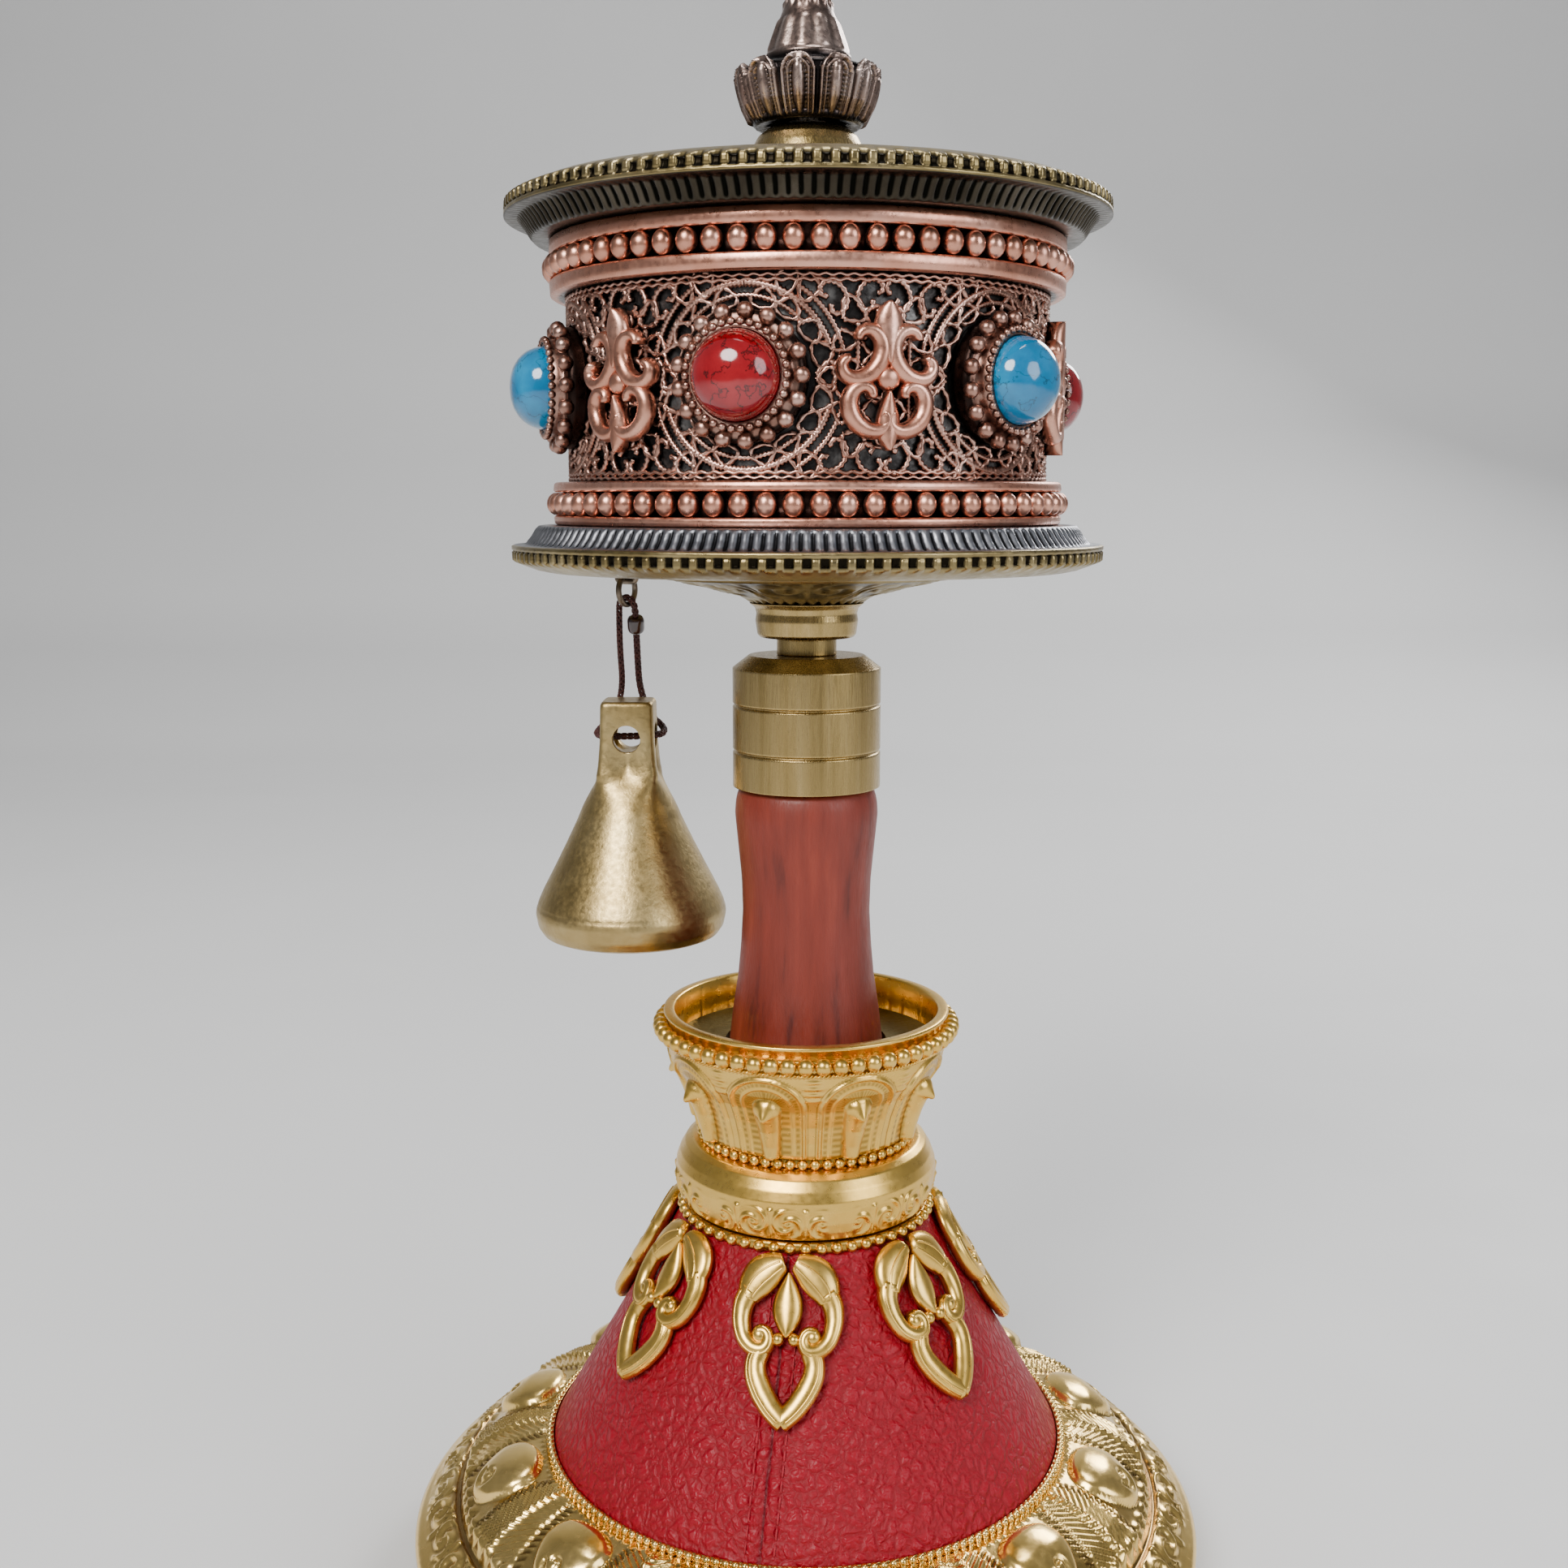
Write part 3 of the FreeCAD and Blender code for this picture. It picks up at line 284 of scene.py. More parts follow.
cord_piece = add_mesh("weight_cord_braid", cord_points, cord_faces, "weight")
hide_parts("weight_cord")
cord_material = finish_material(
    "cord_fibre", [(0.3, (0.045, 0.012, 0.012)), (0.7, (0.11, 0.03, 0.022))],
    (0.55, 0.8), 0.0, 900, 0.9)
wear([cord_piece], cord_material)


# Bead over the knot where the cord's two ends meet: a small dark glossy barrel, turned and
# bored, pushed down on the knot so that it holds by its tight bore.
def profile_line(corners, count, rounding=0.0):
    """An outline (radius, height) through corners, in even steps, its corners eased over
    the rounding length by averaging neighbouring points."""
    corners = np.asarray(corners, float)
    length = np.r_[0, np.cumsum(np.linalg.norm(np.diff(corners, axis=0), axis=1))]
    where = np.linspace(0, length[-1], count)
    line = np.stack([np.interp(where, length, corners[:, k]) for k in range(2)], -1)
    reach = int(rounding / (length[-1] / count) / 2)
    if reach > 0:
        window = np.hanning(2 * reach + 3)[1:-1]
        window /= window.sum()
        ahead = 2 * line[0] - line[reach:0:-1]
        behind = 2 * line[-1] - line[-2:-2 - reach:-1]
        padded = np.concatenate([ahead, line, behind])
        line = np.stack([np.convolve(padded[:, k], window, "valid")
                         for k in range(2)], -1)
    return line


def outward(line):
    """Unit normals of an outline that goes up on its outer side."""
    along = unit(np.gradient(line, axis=0))
    return np.stack([along[:, 1], -along[:, 0]], -1)


def turned_points(line, columns, height=None):
    """The outline taken round Z, with the surface raised by height(row, column) along its
    normal."""
    angle = round_angles(columns)
    raised = np.zeros((len(line), columns)) if height is None else height
    normal = outward(line)
    radius = line[:, :1] + normal[:, :1] * raised
    z = line[:, 1:] + normal[:, 1:] * raised
    return np.stack([radius * np.cos(angle), radius * np.sin(angle), z], -1)


def turned(name, body, corners, count=160, columns=192, rounding=0.5, closed=True):
    """A turned piece. closed outlines are rings with a bore, and others are capped."""
    corners = list(corners) + ([corners[0]] if closed else [])
    line = profile_line(corners, count, rounding)
    if closed:
        line = line[:-1]
    faces = grid_faces(len(line), columns, closed, not closed, not closed)
    return add_mesh(name, turned_points(line, columns), faces, body)


bead_ends = np.array([cord_route[0], cord_route[-1]]) * 1000
bead_axis = unit(bead_ends[0] - bead_ends[1])
bead_middle = bead_ends.mean(0)
bead_half = np.linalg.norm(bead_ends[0] - bead_ends[1]) / 2
t = np.linspace(-1, 1, 24)
bead_line = bead_middle + np.outer(t * bead_half, bead_axis)
bead_radius = 0.5 + 0.7 * np.sqrt(1 - t ** 4)
bead_points, bead_faces = tube(bead_line, bead_radius, bead_radius, (0.3, -1.0, 0.2), 32)
bead_piece = add_mesh("knot_bead", bead_points, bead_faces, "weight")
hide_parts("cord_bead")
wear([bead_piece], finish_material(
    "dark_gloss", [(0.35, (0.02, 0.006, 0.005)), (0.7, (0.06, 0.014, 0.01))],
    (0.08, 0.2), 0.0, 400, 0.05, coat=0.8))


# Weight: solid bell-shaped brass casting with a grainy satin face. Its neck is square with
# four scooped sides and an eye drilled both ways for the cord.
bell_x, bell_y, eye_z, eye_radius = -24.598, 12.996, 114.5, 1.9


def bell_weight():
    """Round in the belly and square in the neck: the radius at a height is scaled by a
    squareness that grows up the neck, and each side of the neck is scooped a little."""
    line = profile_line([
        (0.3, 86.3), (10.9, 86.3), (12.2, 86.8), (13.0, 88.0), (13.33, 89.7), (13.2, 90.8),
        (12.3, 92.9), (10.6, 96.2), (8.8, 99.8), (7.2, 103.2), (5.9, 106.4), (5.1, 108.6),
        (4.7, 110.6), (4.35, 114.0), (4.2, 119.1), (3.9, 119.6), (0.3, 119.6)], 220, 0.9)
    angle = round_angles(192)
    z = line[:, 1:]
    square = np.clip((z - 104.5) / 5.0, 0, 1) ** 1.5
    power = 2 + 7 * square
    shape = (np.abs(np.cos(angle)) ** power + np.abs(np.sin(angle)) ** power) ** (-1 / power)
    radius = line[:, :1] * (1 - square + square * 0.87 * shape)
    scoop = 0.7 * np.abs(np.cos(2 * angle)) ** 3 * np.exp(-((z - 111.4) / 2.8) ** 2)
    groove = 0.07 * np.exp(-((z - 90.9) / 0.25) ** 2)
    radius = radius - scoop * (radius > 2.5) - groove
    points = np.stack([radius * np.cos(angle), radius * np.sin(angle),
                       np.broadcast_to(z, radius.shape)], -1)
    points[..., :2] += (bell_x, bell_y)
    piece = add_mesh("weight_body", points, grid_faces(220, 192, False, True, True),
                     "weight")
    for way in ((1, 0), (0, 1)):
        start = np.array([bell_x - 8 * way[0], bell_y - 8 * way[1], eye_z])
        path = start + np.outer(np.linspace(0, 16, 4), (*way, 0))
        drill = add_mesh("drill", *tube(path, eye_radius, eye_radius, (0, 0, 1.0), 48),
                         "weight")
        cut = piece.modifiers.new("eye", "BOOLEAN")
        cut.operation = "DIFFERENCE"
        cut.solver = "EXACT"
        cut.object = drill
        drawn = bpy.data.meshes.new_from_object(
            piece.evaluated_get(bpy.context.evaluated_depsgraph_get()))
        piece.modifiers.clear()
        piece.data = drawn
        bpy.data.objects.remove(drill)
    return piece


weight_piece = bell_weight()
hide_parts("weight_bell")
satin_brass = finish_material(
    "satin_brass", [(0.25, (0.30, 0.21, 0.08)), (0.5, (0.44, 0.32, 0.135)),
                    (0.75, (0.55, 0.42, 0.20))], (0.3, 0.46), 1.0, 160, 0.45)
wear([weight_piece], satin_brass)

# Swivel ring and its staple: round steel wire gone dark. The staple's legs are set in the
# drum's lower plate, and the ring hangs in it and carries the cord.
wire_dark = finish_material(
    "dark_wire", [(0.3, (0.10, 0.08, 0.06)), (0.7, (0.30, 0.24, 0.18))],
    (0.3, 0.5), 1.0, 700, 0.3)
wear([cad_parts["weight_staple"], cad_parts["swivel_ring"]], wire_dark)

# Handle: red-brown hardwood, turned to a waist and waxed. Its tenon is pressed in the
# ferrule, and its foot stands in the socket.
handle_piece = turned("handle_wood", "grip", [
    (0.3, 42.0), (9.6, 42.0), (10.4, 42.8), (10.4, 70.0), (10.32, 73.0), (10.26, 75.3),
    (9.74, 79.8), (9.06, 84.3), (8.66, 88.7), (8.41, 93.2), (8.55, 97.6), (8.98, 102.0),
    (9.40, 106.3), (9.29, 107.9), (8.95, 109.3), (8.6, 109.7), (8.15, 109.75),
    (8.15, 124.9), (0.3, 124.9)], 240, 112, 1.2, closed=False)
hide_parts("handle")
wood_material = finish_material(
    "red_wood", [(0.28, (0.085, 0.007, 0.003)), (0.40, (0.155, 0.016, 0.006)),
                 (0.6, (0.19, 0.021, 0.009)), (0.75, (0.235, 0.031, 0.014))],
    (0.42, 0.6), 0.0, 190, 0.4, stretch=(3, 3, 0.3), coat=0.04)
wear([handle_piece], wood_material)

# Ferrule: turned brass cap pressed on the handle's tenon. Two fine grooves are cut round
# it, its top edge is chamfered, and the spindle passes through it.
turned_brass = finish_material(
    "turned_brass", [(0.25, (0.27, 0.19, 0.07)), (0.5, (0.40, 0.285, 0.115)),
                     (0.78, (0.50, 0.37, 0.17))], (0.2, 0.36), 1.0, 130, 0.3,
    stretch=(5, 5, 0.3))
ferrule_piece = turned("ferrule_brass", "grip", [
    (8.2, 109.85), (9.65, 109.85), (9.65, 114.35), (9.35, 114.6), (9.65, 114.85),
    (9.65, 120.35), (9.35, 120.6), (9.65, 120.85), (9.65, 125.35), (7.52, 127.0),
    (2.15, 127.0), (2.15, 124.95), (8.2, 124.95)], 360, 96, 0.16)
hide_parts("ferrule")

# Thrust washer and hubs: small turned brass. The washer carries the drum's weight on the
# ferrule, and the hubs are flared to seat on the plates and hold the bushes.
washer_piece = turned("thrust_washer_brass", "grip", [
    (2.15, 127.02), (3.88, 127.02), (3.88, 129.2), (2.15, 129.2)], 80, 72, 0.4)
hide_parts("thrust_washer")
hub_piece = turned("lower_hub_brass", "drum", [
    (3.33, 129.3), (6.0, 129.3), (6.4, 129.7), (6.66, 131.5), (6.52, 132.4), (6.7, 133.1),
    (7.48, 133.75), (4.5, 133.8), (4.5, 137.4), (3.33, 137.4)], 180, 96, 0.3)
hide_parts("lower_hub")
cap_piece = turned("upper_cap_brass", "drum", [
    (3.33, 184.5), (4.5, 184.5), (4.5, 188.15), (7.4, 188.15), (7.25, 188.7),
    (6.8, 189.9), (6.2, 191.0), (5.0, 191.9), (3.33, 192.35)], 180, 96, 0.4)
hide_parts("upper_cap")
wear([ferrule_piece, washer_piece, hub_piece, cap_piece,
      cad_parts["lower_bush"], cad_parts["upper_bush"],
      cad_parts["core_tube"]], turned_brass)

# Spindle, tie screw and washer, socket tube and plug: plain turned metal, mostly hidden.
# The screw pulls the stand together through the plug, which closes the tube.
plain_steel = finish_material(
    "plain_steel", [(0.3, (0.42, 0.41, 0.39)), (0.7, (0.62, 0.61, 0.58))],
    (0.22, 0.4), 1.0, 140, 0.2, stretch=(1, 1, 6))
wear([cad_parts[n] for n in ("spindle", "tie_screw", "tie_washer")],
     plain_steel)
wear([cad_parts[n] for n in ("socket_tube", "socket_plug")], plain_steel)

# Drum plates: two equal castings. Each has a dish with embossed scrolls round the hub, a
# flat, a knurled edge with a lip under it, and a concave face of fine gadroon ribs.
def stepped(corners):
    """An outline through corners (radius, height, steps), each side in that many steps."""
    parts = [np.array([corners[0][:2]])]
    for start, end in zip(corners, corners[1:]):
        share = np.arange(1, end[2] + 1)[:, None] / end[2]
        parts.append(np.array(start[:2]) * (1 - share) + np.array(end[:2]) * share)
    return np.concatenate(parts)


def hump(value, middle, width):
    """A smooth bump of height 1 round a middle value: e to the power of minus the square of
    the distance, counted in widths."""
    return np.exp(-((value - middle) / width) ** 2)


def between(value, low, high, soft):
    """1 between two limits and 0 outside: a smooth step up at the low limit times a smooth
    step down at the high one."""
    rise = np.clip((value - low) / soft + 0.5, 0, 1)
    fall = np.clip((high - value) / soft + 0.5, 0, 1)
    return (rise * rise * (3 - 2 * rise)) * (fall * fall * (3 - 2 * fall))


def scrolls(around, along, count):
    """Relief of leafy scrolls: a row of spirals, turning left and right by turns. around is
    the angle, along runs from -1 to 1 across the row; the value is from 0 to 1. Two arms
    wind out as the cosine of twice the turn less a multiple of the distance."""
    cell = around * count / (2 * np.pi)
    hand = np.where(np.floor(cell) % 2 < 1, 1.0, -1.0)
    x = (cell % 1.0) * 2 - 1
    y = along * hand
    ring, turn = np.sqrt(x * x + y * y), np.arctan2(y, x)
    arms = 0.5 + 0.5 * np.cos(turn * 2 - ring * 8.5)
    eye = hump(ring, 0.0, 0.2)
    stem = hump(np.abs(x), 1.0, 0.13) * 0.7
    body = arms ** 1.6 * between(ring, 0.22, 0.98, 0.2)
    return np.maximum(np.maximum(body, eye), stem) * between(along, -1, 1, 0.25)


plates_middle_z, rib_count, tooth_count = 160.98, 160, 120


def drum_plate(name, side):
    """Plate turned from its outline: side -1 is the lower one and 1 the upper. Ribs, teeth
    and scrolls raise or lower the surface along its normal."""
    line = stepped([
        (4.57, 27.05, 0), (6.3, 27.1, 1), (7.3, 27.0, 4), (9.5, 26.1, 3), (13.5, 24.95, 6),
        (17.5, 24.2, 6), (19.2, 24.0, 3), (19.7, 23.3, 2), (20.0, 23.0, 1), (33.4, 23.0, 2),
        (34.6, 22.75, 1), (36.6, 22.0, 2), (37.2, 21.75, 2), (37.45, 21.55, 2),
        (37.5, 20.6, 3), (37.3, 20.42, 1), (37.5, 20.25, 1), (37.52, 19.85, 1),
        (37.2, 19.7, 1), (35.95, 19.66, 1), (35.6, 19.5, 1), (34.95, 18.7, 4),
        (34.4, 17.8, 4), (34.1, 17.35, 2), (33.6, 17.3, 1), (26.5, 17.3, 1),
        (26.5, 21.7, 1), (18.9, 22.7, 1), (7.1, 25.8, 1), (4.57, 25.8, 1)])
    reach = line[:, 1].copy()
    line = np.stack([line[:, 0], plates_middle_z + side * reach], -1)
    order = slice(None) if side < 0 else slice(None, None, -1)
    line, reach = line[order], reach[order]
    angle = round_angles(1440)
    r, d = line[:, :1], reach[:, None]
    rib = between(d, 17.6, 19.6, 0.5) * between(r, 33.9, 35.9, 0.4)
    knurl = between(d, 20.45, 21.9, 0.25) * between(r, 36.9, 38.0, 0.3)
    dish = between(r, 8.6, 18.6, 1.2) * (d > 23.5)
    beads = hump(r, 7.15, 0.55) * (d > 26)
    gadroon = np.abs(np.cos(rib_count / 2 * angle))
    tooth = np.clip(0.5 - 1.3 * np.cos(tooth_count * angle), 0, 1)
    leaf = scrolls(angle + 0 * r, (r - 13.6) / 4.6 + 0 * angle, 12)
    pearl = np.abs(np.cos(17 * angle))
    height = (rib * (0.42 * gadroon - 0.3) - knurl * 0.5 * (1 - tooth)
              + dish * (0.32 * leaf - 0.12) + beads * (0.4 * pearl - 0.2))
    # Painted shade: relief is lowered between the gadroon ribs, in the knurl's teeth, between
    # the scrolls and pearls, and in the grooves under the knurl and at the dish's edge, and
    # the plates' materials paint these places dark.
    relief = (0.8 + rib * (1.5 * gadroon - 1.3) - knurl * (1 - tooth) * 0.8
              + dish * (leaf - 0.6) + beads * (pearl - 0.6)
              - 0.5 * hump(d, 20.42, 0.12) - 0.4 * hump(r, 20.0, 0.4) + 0 * angle)
    faces = grid_faces(len(line), 1440, True)
    piece = add_mesh(name, turned_points(line, 1440, height), faces, "drum", relief)
    ribbed = (reach < 19.72).astype(np.int32)
    return piece, np.repeat(ribbed, 1440)


# Aged brass of the plates, with painted shade dark in its hollows.
aged_brass_painted_shade = finish_material(
    "aged_brass_painted_shade", [(0.25, (0.15, 0.11, 0.045)), (0.5, (0.26, 0.20, 0.09)),
                   (0.78, (0.40, 0.32, 0.17))], (0.26, 0.42), 1.0, 120, 0.35,
    painted_shade=(0.010, 0.008, 0.005))
ribbed_grey = finish_material(
    "ribbed_grey", [(0.25, (0.17, 0.175, 0.19)), (0.5, (0.25, 0.255, 0.28)),
                    (0.78, (0.36, 0.365, 0.39))], (0.3, 0.46), 1.0, 120, 0.35,
    painted_shade=(0.02, 0.02, 0.022))
# Painted shade: the upper plate's ribs face down, so they get a much darker copy of the lower
# plate's ribbed metal that stands in for the shade under the plate.
ribbed_painted_shade = finish_material(
    "ribbed_painted_shade", [(0.25, (0.025, 0.020, 0.014)), (0.5, (0.050, 0.042, 0.030)),
                    (0.78, (0.10, 0.085, 0.065))], (0.26, 0.4), 1.0, 120, 0.35,
    painted_shade=(0.003, 0.003, 0.002))
for label, side_of_drum, ribbed in (("lower_plate", -1, ribbed_grey),
                                    ("upper_plate", 1, ribbed_painted_shade)):
    made, ribbed_faces = drum_plate(label + "_cast", side_of_drum)
    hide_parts(label)
    wear([made], aged_brass_painted_shade)
    made.data.materials.append(ribbed)
    made.data.polygons.foreach_set("material_index", ribbed_faces)


# Bands: cast copper rings pushed on the drum's two ends, each with a row of tall beads
#  between two rails, with painted shade dark on the floor between the rails and round the
#  foot of each bead, leaving the beads' outer faces bright.
def ball(rows, columns):
    """A unit ball as a grid of points, by tilt and turn, with its faces."""
    tilt = np.linspace(-np.pi / 2, np.pi / 2, rows + 2)[1:-1]
    turn = round_angles(columns)
    points = np.stack([np.cos(tilt)[:, None] * np.cos(turn),
                       np.cos(tilt)[:, None] * np.sin(turn),
                       np.sin(tilt)[:, None] + 0 * turn], -1)
    return points.reshape(-1, 3), grid_faces(rows, columns, False, True, True)


def ring_balls(ring, count, z, size, rows=7, columns=12):
    """Balls in a ring: size is their half extent outward, along the ring and up."""
    points, faces = ball(rows, columns)
    angle = round_angles(count)
    out = directions(angle)
    on = directions(angle + np.pi / 2)
    places = (out[:, None] * (ring + points[None, :, :1] * size[0])
              + on[:, None] * points[None, :, 1:2] * size[1])
    places[..., 2] += z + points[None, :, 2] * size[2]
    return copies(faces, places)


def joined(parts):
    """Several shapes as one: parts are (points, faces) or (points, faces, relief)."""
    points, faces, relief, start = [], [], [], 0
    for part in parts:
        place = np.asarray(part[0]).reshape(-1, 3)
        points.append(place)
        faces.append(np.asarray(part[1]) + start)
        value = part[2] if len(part) > 2 else 0.75
        relief.append(np.broadcast_to(np.asarray(value, float).ravel(), len(place)))
        start += len(place)
    return np.concatenate(points), np.concatenate(faces), np.concatenate(relief)


def bead_band(name, low, high, lower_rail, upper_rail):
    """Rails and floor turned from an outline, and the beads on the floor."""
    first, last = low + lower_rail, high - upper_rail
    line = stepped([
        (29.35, low, 0), (31.75, low, 2), (32.05, low + 0.2, 3), (32.15, first - 0.25, 2),
        (31.95, first, 3), (31.0, first + 0.02, 2), (30.95, last - 0.02, 2),
        (31.95, last, 2), (32.15, last + 0.25, 3), (32.05, high - 0.2, 2),
        (31.75, high, 3), (29.35, high, 2)])
    # Painted shade: the floor between the rails gets relief 0 and is painted dark; the rails
    # get 0.95.
    shade = np.where(line[:, 0] < 31.3, 0.0, 0.95)[:, None] + np.zeros(360)
    ring = (turned_points(line, 360), grid_faces(len(line), 360, True), shade)
    tall = (last - first) / 2 - 0.02
    beads = ring_balls(31.75, 66, (first + last) / 2, (1.3, 1.26, tall), rows=9, columns=16)
    # Painted shade: each bead is painted darker towards the floor and keeps its copper colour
    # on its outer face.
    shade = 0.3 + 0.7 * np.clip((np.linalg.norm(beads[0][:, :2], axis=1) - 31.6) / 0.8,
                                0, 1)
    points, faces, relief = joined([ring, (*beads, shade)])
    return add_mesh(name, points, faces, "drum", relief)


band_copper = finish_material(
    "band_copper", [(0.25, (0.50, 0.215, 0.14)), (0.5, (0.66, 0.32, 0.225)),
                    (0.78, (0.80, 0.46, 0.35))], (0.24, 0.4), 1.0, 150, 0.3,
    painted_shade=(0.02, 0.010, 0.008))
for label, low_z, high_z, lower_rail, upper_rail in (
        ("lower_band", 143.73, 148.97, 1.15, 1.2), ("upper_band", 171.43, 178.2, 1.9, 1.95)):
    made = bead_band(label + "_beaded", low_z, high_z, lower_rail, upper_rail)
    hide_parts(label)
    wear([made], band_copper)

# Drum shell: plain rolled can of dull silver plate, painted very dark as shade where it is
# seen between the filigree.
# Inside it lies the roll of blank paper, wound on the core tube.
shell_material = finish_material(
    "shell_silver_painted_shade", [(0.2, (0.012, 0.010, 0.010)), (0.5, (0.04, 0.037, 0.036)),
                    (0.8, (0.24, 0.235, 0.23))], (0.3, 0.55), 1.0, 260, 0.5)
wear([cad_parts["drum_shell"]], shell_material)
paper_material = finish_material(
    "wound_paper", [(0.3, (0.72, 0.66, 0.52)), (0.7, (0.84, 0.79, 0.66))],
    (0.7, 0.9), 0.0, 60, 0.4, stretch=(1, 1, 8))
wear([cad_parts["scripture_roll"]], paper_material)


# Filigree: loops and scrolls of thin copper strip, notched like a ladder, soldered on the
# drum shell between the bands.
drum_middle_z, unrolled_radius, first_stone = 160.2, 30.0, -103.5


def curl(size, turn, count):
    """A C-shaped scroll about (0, 0): its bend grows towards both ends, which curl in."""
    t = np.linspace(-1, 1, count)
    heading = turn * (0.45 * t + 0.55 * t ** 3) + np.pi / 2
    step = np.stack([np.cos(heading), np.sin(heading)], -1)
    line = np.cumsum(step, axis=0)
    line -= (line.max(0) + line.min(0)) / 2
    return line * size / np.ptp(line[:, 1])


def drop(size, wide, count=18):
    """A teardrop loop about (0, 0), its point up, open by a hair at the point: the height
    is a cosine, and the width a sine times a power of the half turn's sine."""
    t = np.linspace(0.03, 2 * np.pi - 0.03, count)
    x = np.sin(t) * np.sin(t / 2) ** 1.2 * wide
    return np.stack([x, np.cos(t) * 0.5], -1) * size


def place(line, x, y, degrees):
    """A flat line turned about (0, 0) and moved."""
    c, s = math.cos(math.radians(degrees)), math.sin(math.radians(degrees))
    return line @ np.array([[c, s], [-s, c]]) + (x, y)


def on_drum(flat, radius, angle):
    """Flat (x, y) in millimetres wrapped on a cylinder about Z, x measured at the unrolled
    radius, from the given angle. radius may be one value or one per point."""
    turn = math.radians(angle) + flat[..., 0] / unrolled_radius
    return np.stack([radius * np.cos(turn), radius * np.sin(turn), flat[..., 1]], -1)


def strip(flat, wide, low, high, wrap, notch=0.0, sides=6):
    """A rounded strip along a flat line, mapped on a surface by wrap(flat, height): its
    section is an oval from low to high, narrowed at each second point by the notch."""
    along = unit(np.gradient(flat, axis=0))
    across = np.stack([-along[:, 1], along[:, 0]], -1)
    angle = (np.arange(sides) + 0.5) * 2 * np.pi / sides
    wide = np.broadcast_to(wide, len(flat))
    swell = 1 - notch * (np.arange(len(flat)) % 2)
    offset = (wide * swell)[:, None, None] * np.cos(angle)[None, :, None]
    height = (low + high) / 2 + (high - low) / 2 * np.sin(angle)[None] * swell[:, None]
    points = wrap(flat[:, None] + across[:, None] * offset, height)
    # Painted shade: relief runs from 0 on the strip's foot to 1 on its top, so its sides near
    # the surface are painted dark.
    shade = 0.5 + 0.5 * np.sin(angle)[None] * swell[:, None]
    return points, grid_faces(len(flat), sides, cap_low=True, cap_high=True), shade


def arc_line(radius, first, last, step=0.25):
    """Part of a circle about (0, 0), between two angles in degrees."""
    count = int(abs(last - first) * math.pi / 180 * radius / step) + 3
    turn = np.radians(np.linspace(first, last, count))
    return np.stack([radius * np.cos(turn), radius * np.sin(turn)], -1)


def filigree():
    """One quarter of the pattern about a stone, mirrored both ways, six times: two laddered
    arcs round the stone, loops between them and the stone, a plaited upright beside the
    ornament, and scrolls and loops that fill the corners."""
    quarter = [
        (arc_line(10.1, 20, 90), 0.62), (arc_line(8.75, 40, 90), 0.42),
        (arc_line(11.45, 14, 60), 0.45),
        (np.stack([0 * np.arange(24) + 12.7, np.arange(24) * 0.25 + 0.1], -1), 0.4),
        (place(curl(3.8, 4.6, 30), 10.1, 8.6, 35), 0.46),
        (place(curl(3.6, 4.6, 30), 13.9, 8.9, 150), 0.46)]
    for size, wide, x, y, turned_by, half in (
            (2.5, 0.8, 8.8, 2.5, -70, 0.4), (2.3, 0.8, 9.2, 0.3, 90, 0.4),
            (2.4, 0.8, 7.5, 5.1, -40, 0.4), (2.4, 0.8, 5.0, 7.4, -25, 0.38),
            (2.4, 0.8, 2.2, 8.5, -10, 0.38), (2.6, 0.85, 12.0, 7.0, 130, 0.42),
            (2.5, 0.85, 7.4, 9.5, -100, 0.4), (2.5, 0.85, 4.6, 10.3, 60, 0.34),
            (2.5, 0.85, 15.0, 6.3, 180, 0.4), (2.6, 0.85, 14.4, 3.7, 90, 0.42),
            (2.5, 0.85, 14.4, 1.2, 90, 0.4), (2.3, 0.85, 11.1, 4.0, 20, 0.38),
            (2.3, 0.85, 11.2, 1.2, 20, 0.38)):
        quarter.append((place(drop(size, wide), x, y, turned_by), half))
    strips = []
    for sixth in range(6):
        for sx, sy in ((1, 1), (-1, 1), (1, -1), (-1, -1)):
            for flat, wide in quarter:
                line = flat * (sx, sy)
                line = line[::-1] if sx * sy < 0 else line
                strips.append(strip(
                    line + (0, drum_middle_z), wide, 29.15, 30.27,
                    lambda f, h, a=first_stone + 60 * sixth: on_drum(f, h, a), 0.42, 5))
    turn = round_angles(720)
    angle = round_angles(5)
    out = directions(turn)[:, None]
    for z in (149.55, 170.85):
        for lift in (-0.28, 0.28):
            weave = 0.12 * np.sin(turn * 120) * np.sign(lift)
            middle = np.stack([29.85 * np.cos(turn), 29.85 * np.sin(turn),
                               z + lift + weave], -1)
            points = (middle[:, None] + out * 0.4 * np.cos(angle)[None, :, None]
                      + np.array([0, 0, 1.0]) * 0.27 * np.sin(angle)[None, :, None])
            # Painted shade: the plaited wire is lighter outward and painted dark on its side
            # towards the drum.
            shade = 0.55 + 0.45 * np.cos(angle)[None] + np.zeros((720, 1))
            strips.append((points, grid_faces(720, 5, True)[:, ::-1], shade))
    return joined(strips)


filigree_points, filigree_faces, filigree_relief = filigree()
filigree_piece = add_mesh("filigree_strips", filigree_points, filigree_faces, "drum",
                          filigree_relief)
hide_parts("filigree_sleeve")
# Filigree copper paints its shade colour over most of each strip's sides; only the tops keep
# the plain copper.
filigree_copper = finish_material(
    "filigree_copper", [(0.25, (0.36, 0.17, 0.12)), (0.5, (0.54, 0.30, 0.23)),
                        (0.78, (0.68, 0.46, 0.38))], (0.24, 0.42), 1.0, 190, 0.3,
    painted_shade=(0.02, 0.012, 0.010), painted_shade_range=(0.47, 1.07))
wear([filigree_piece], filigree_copper)


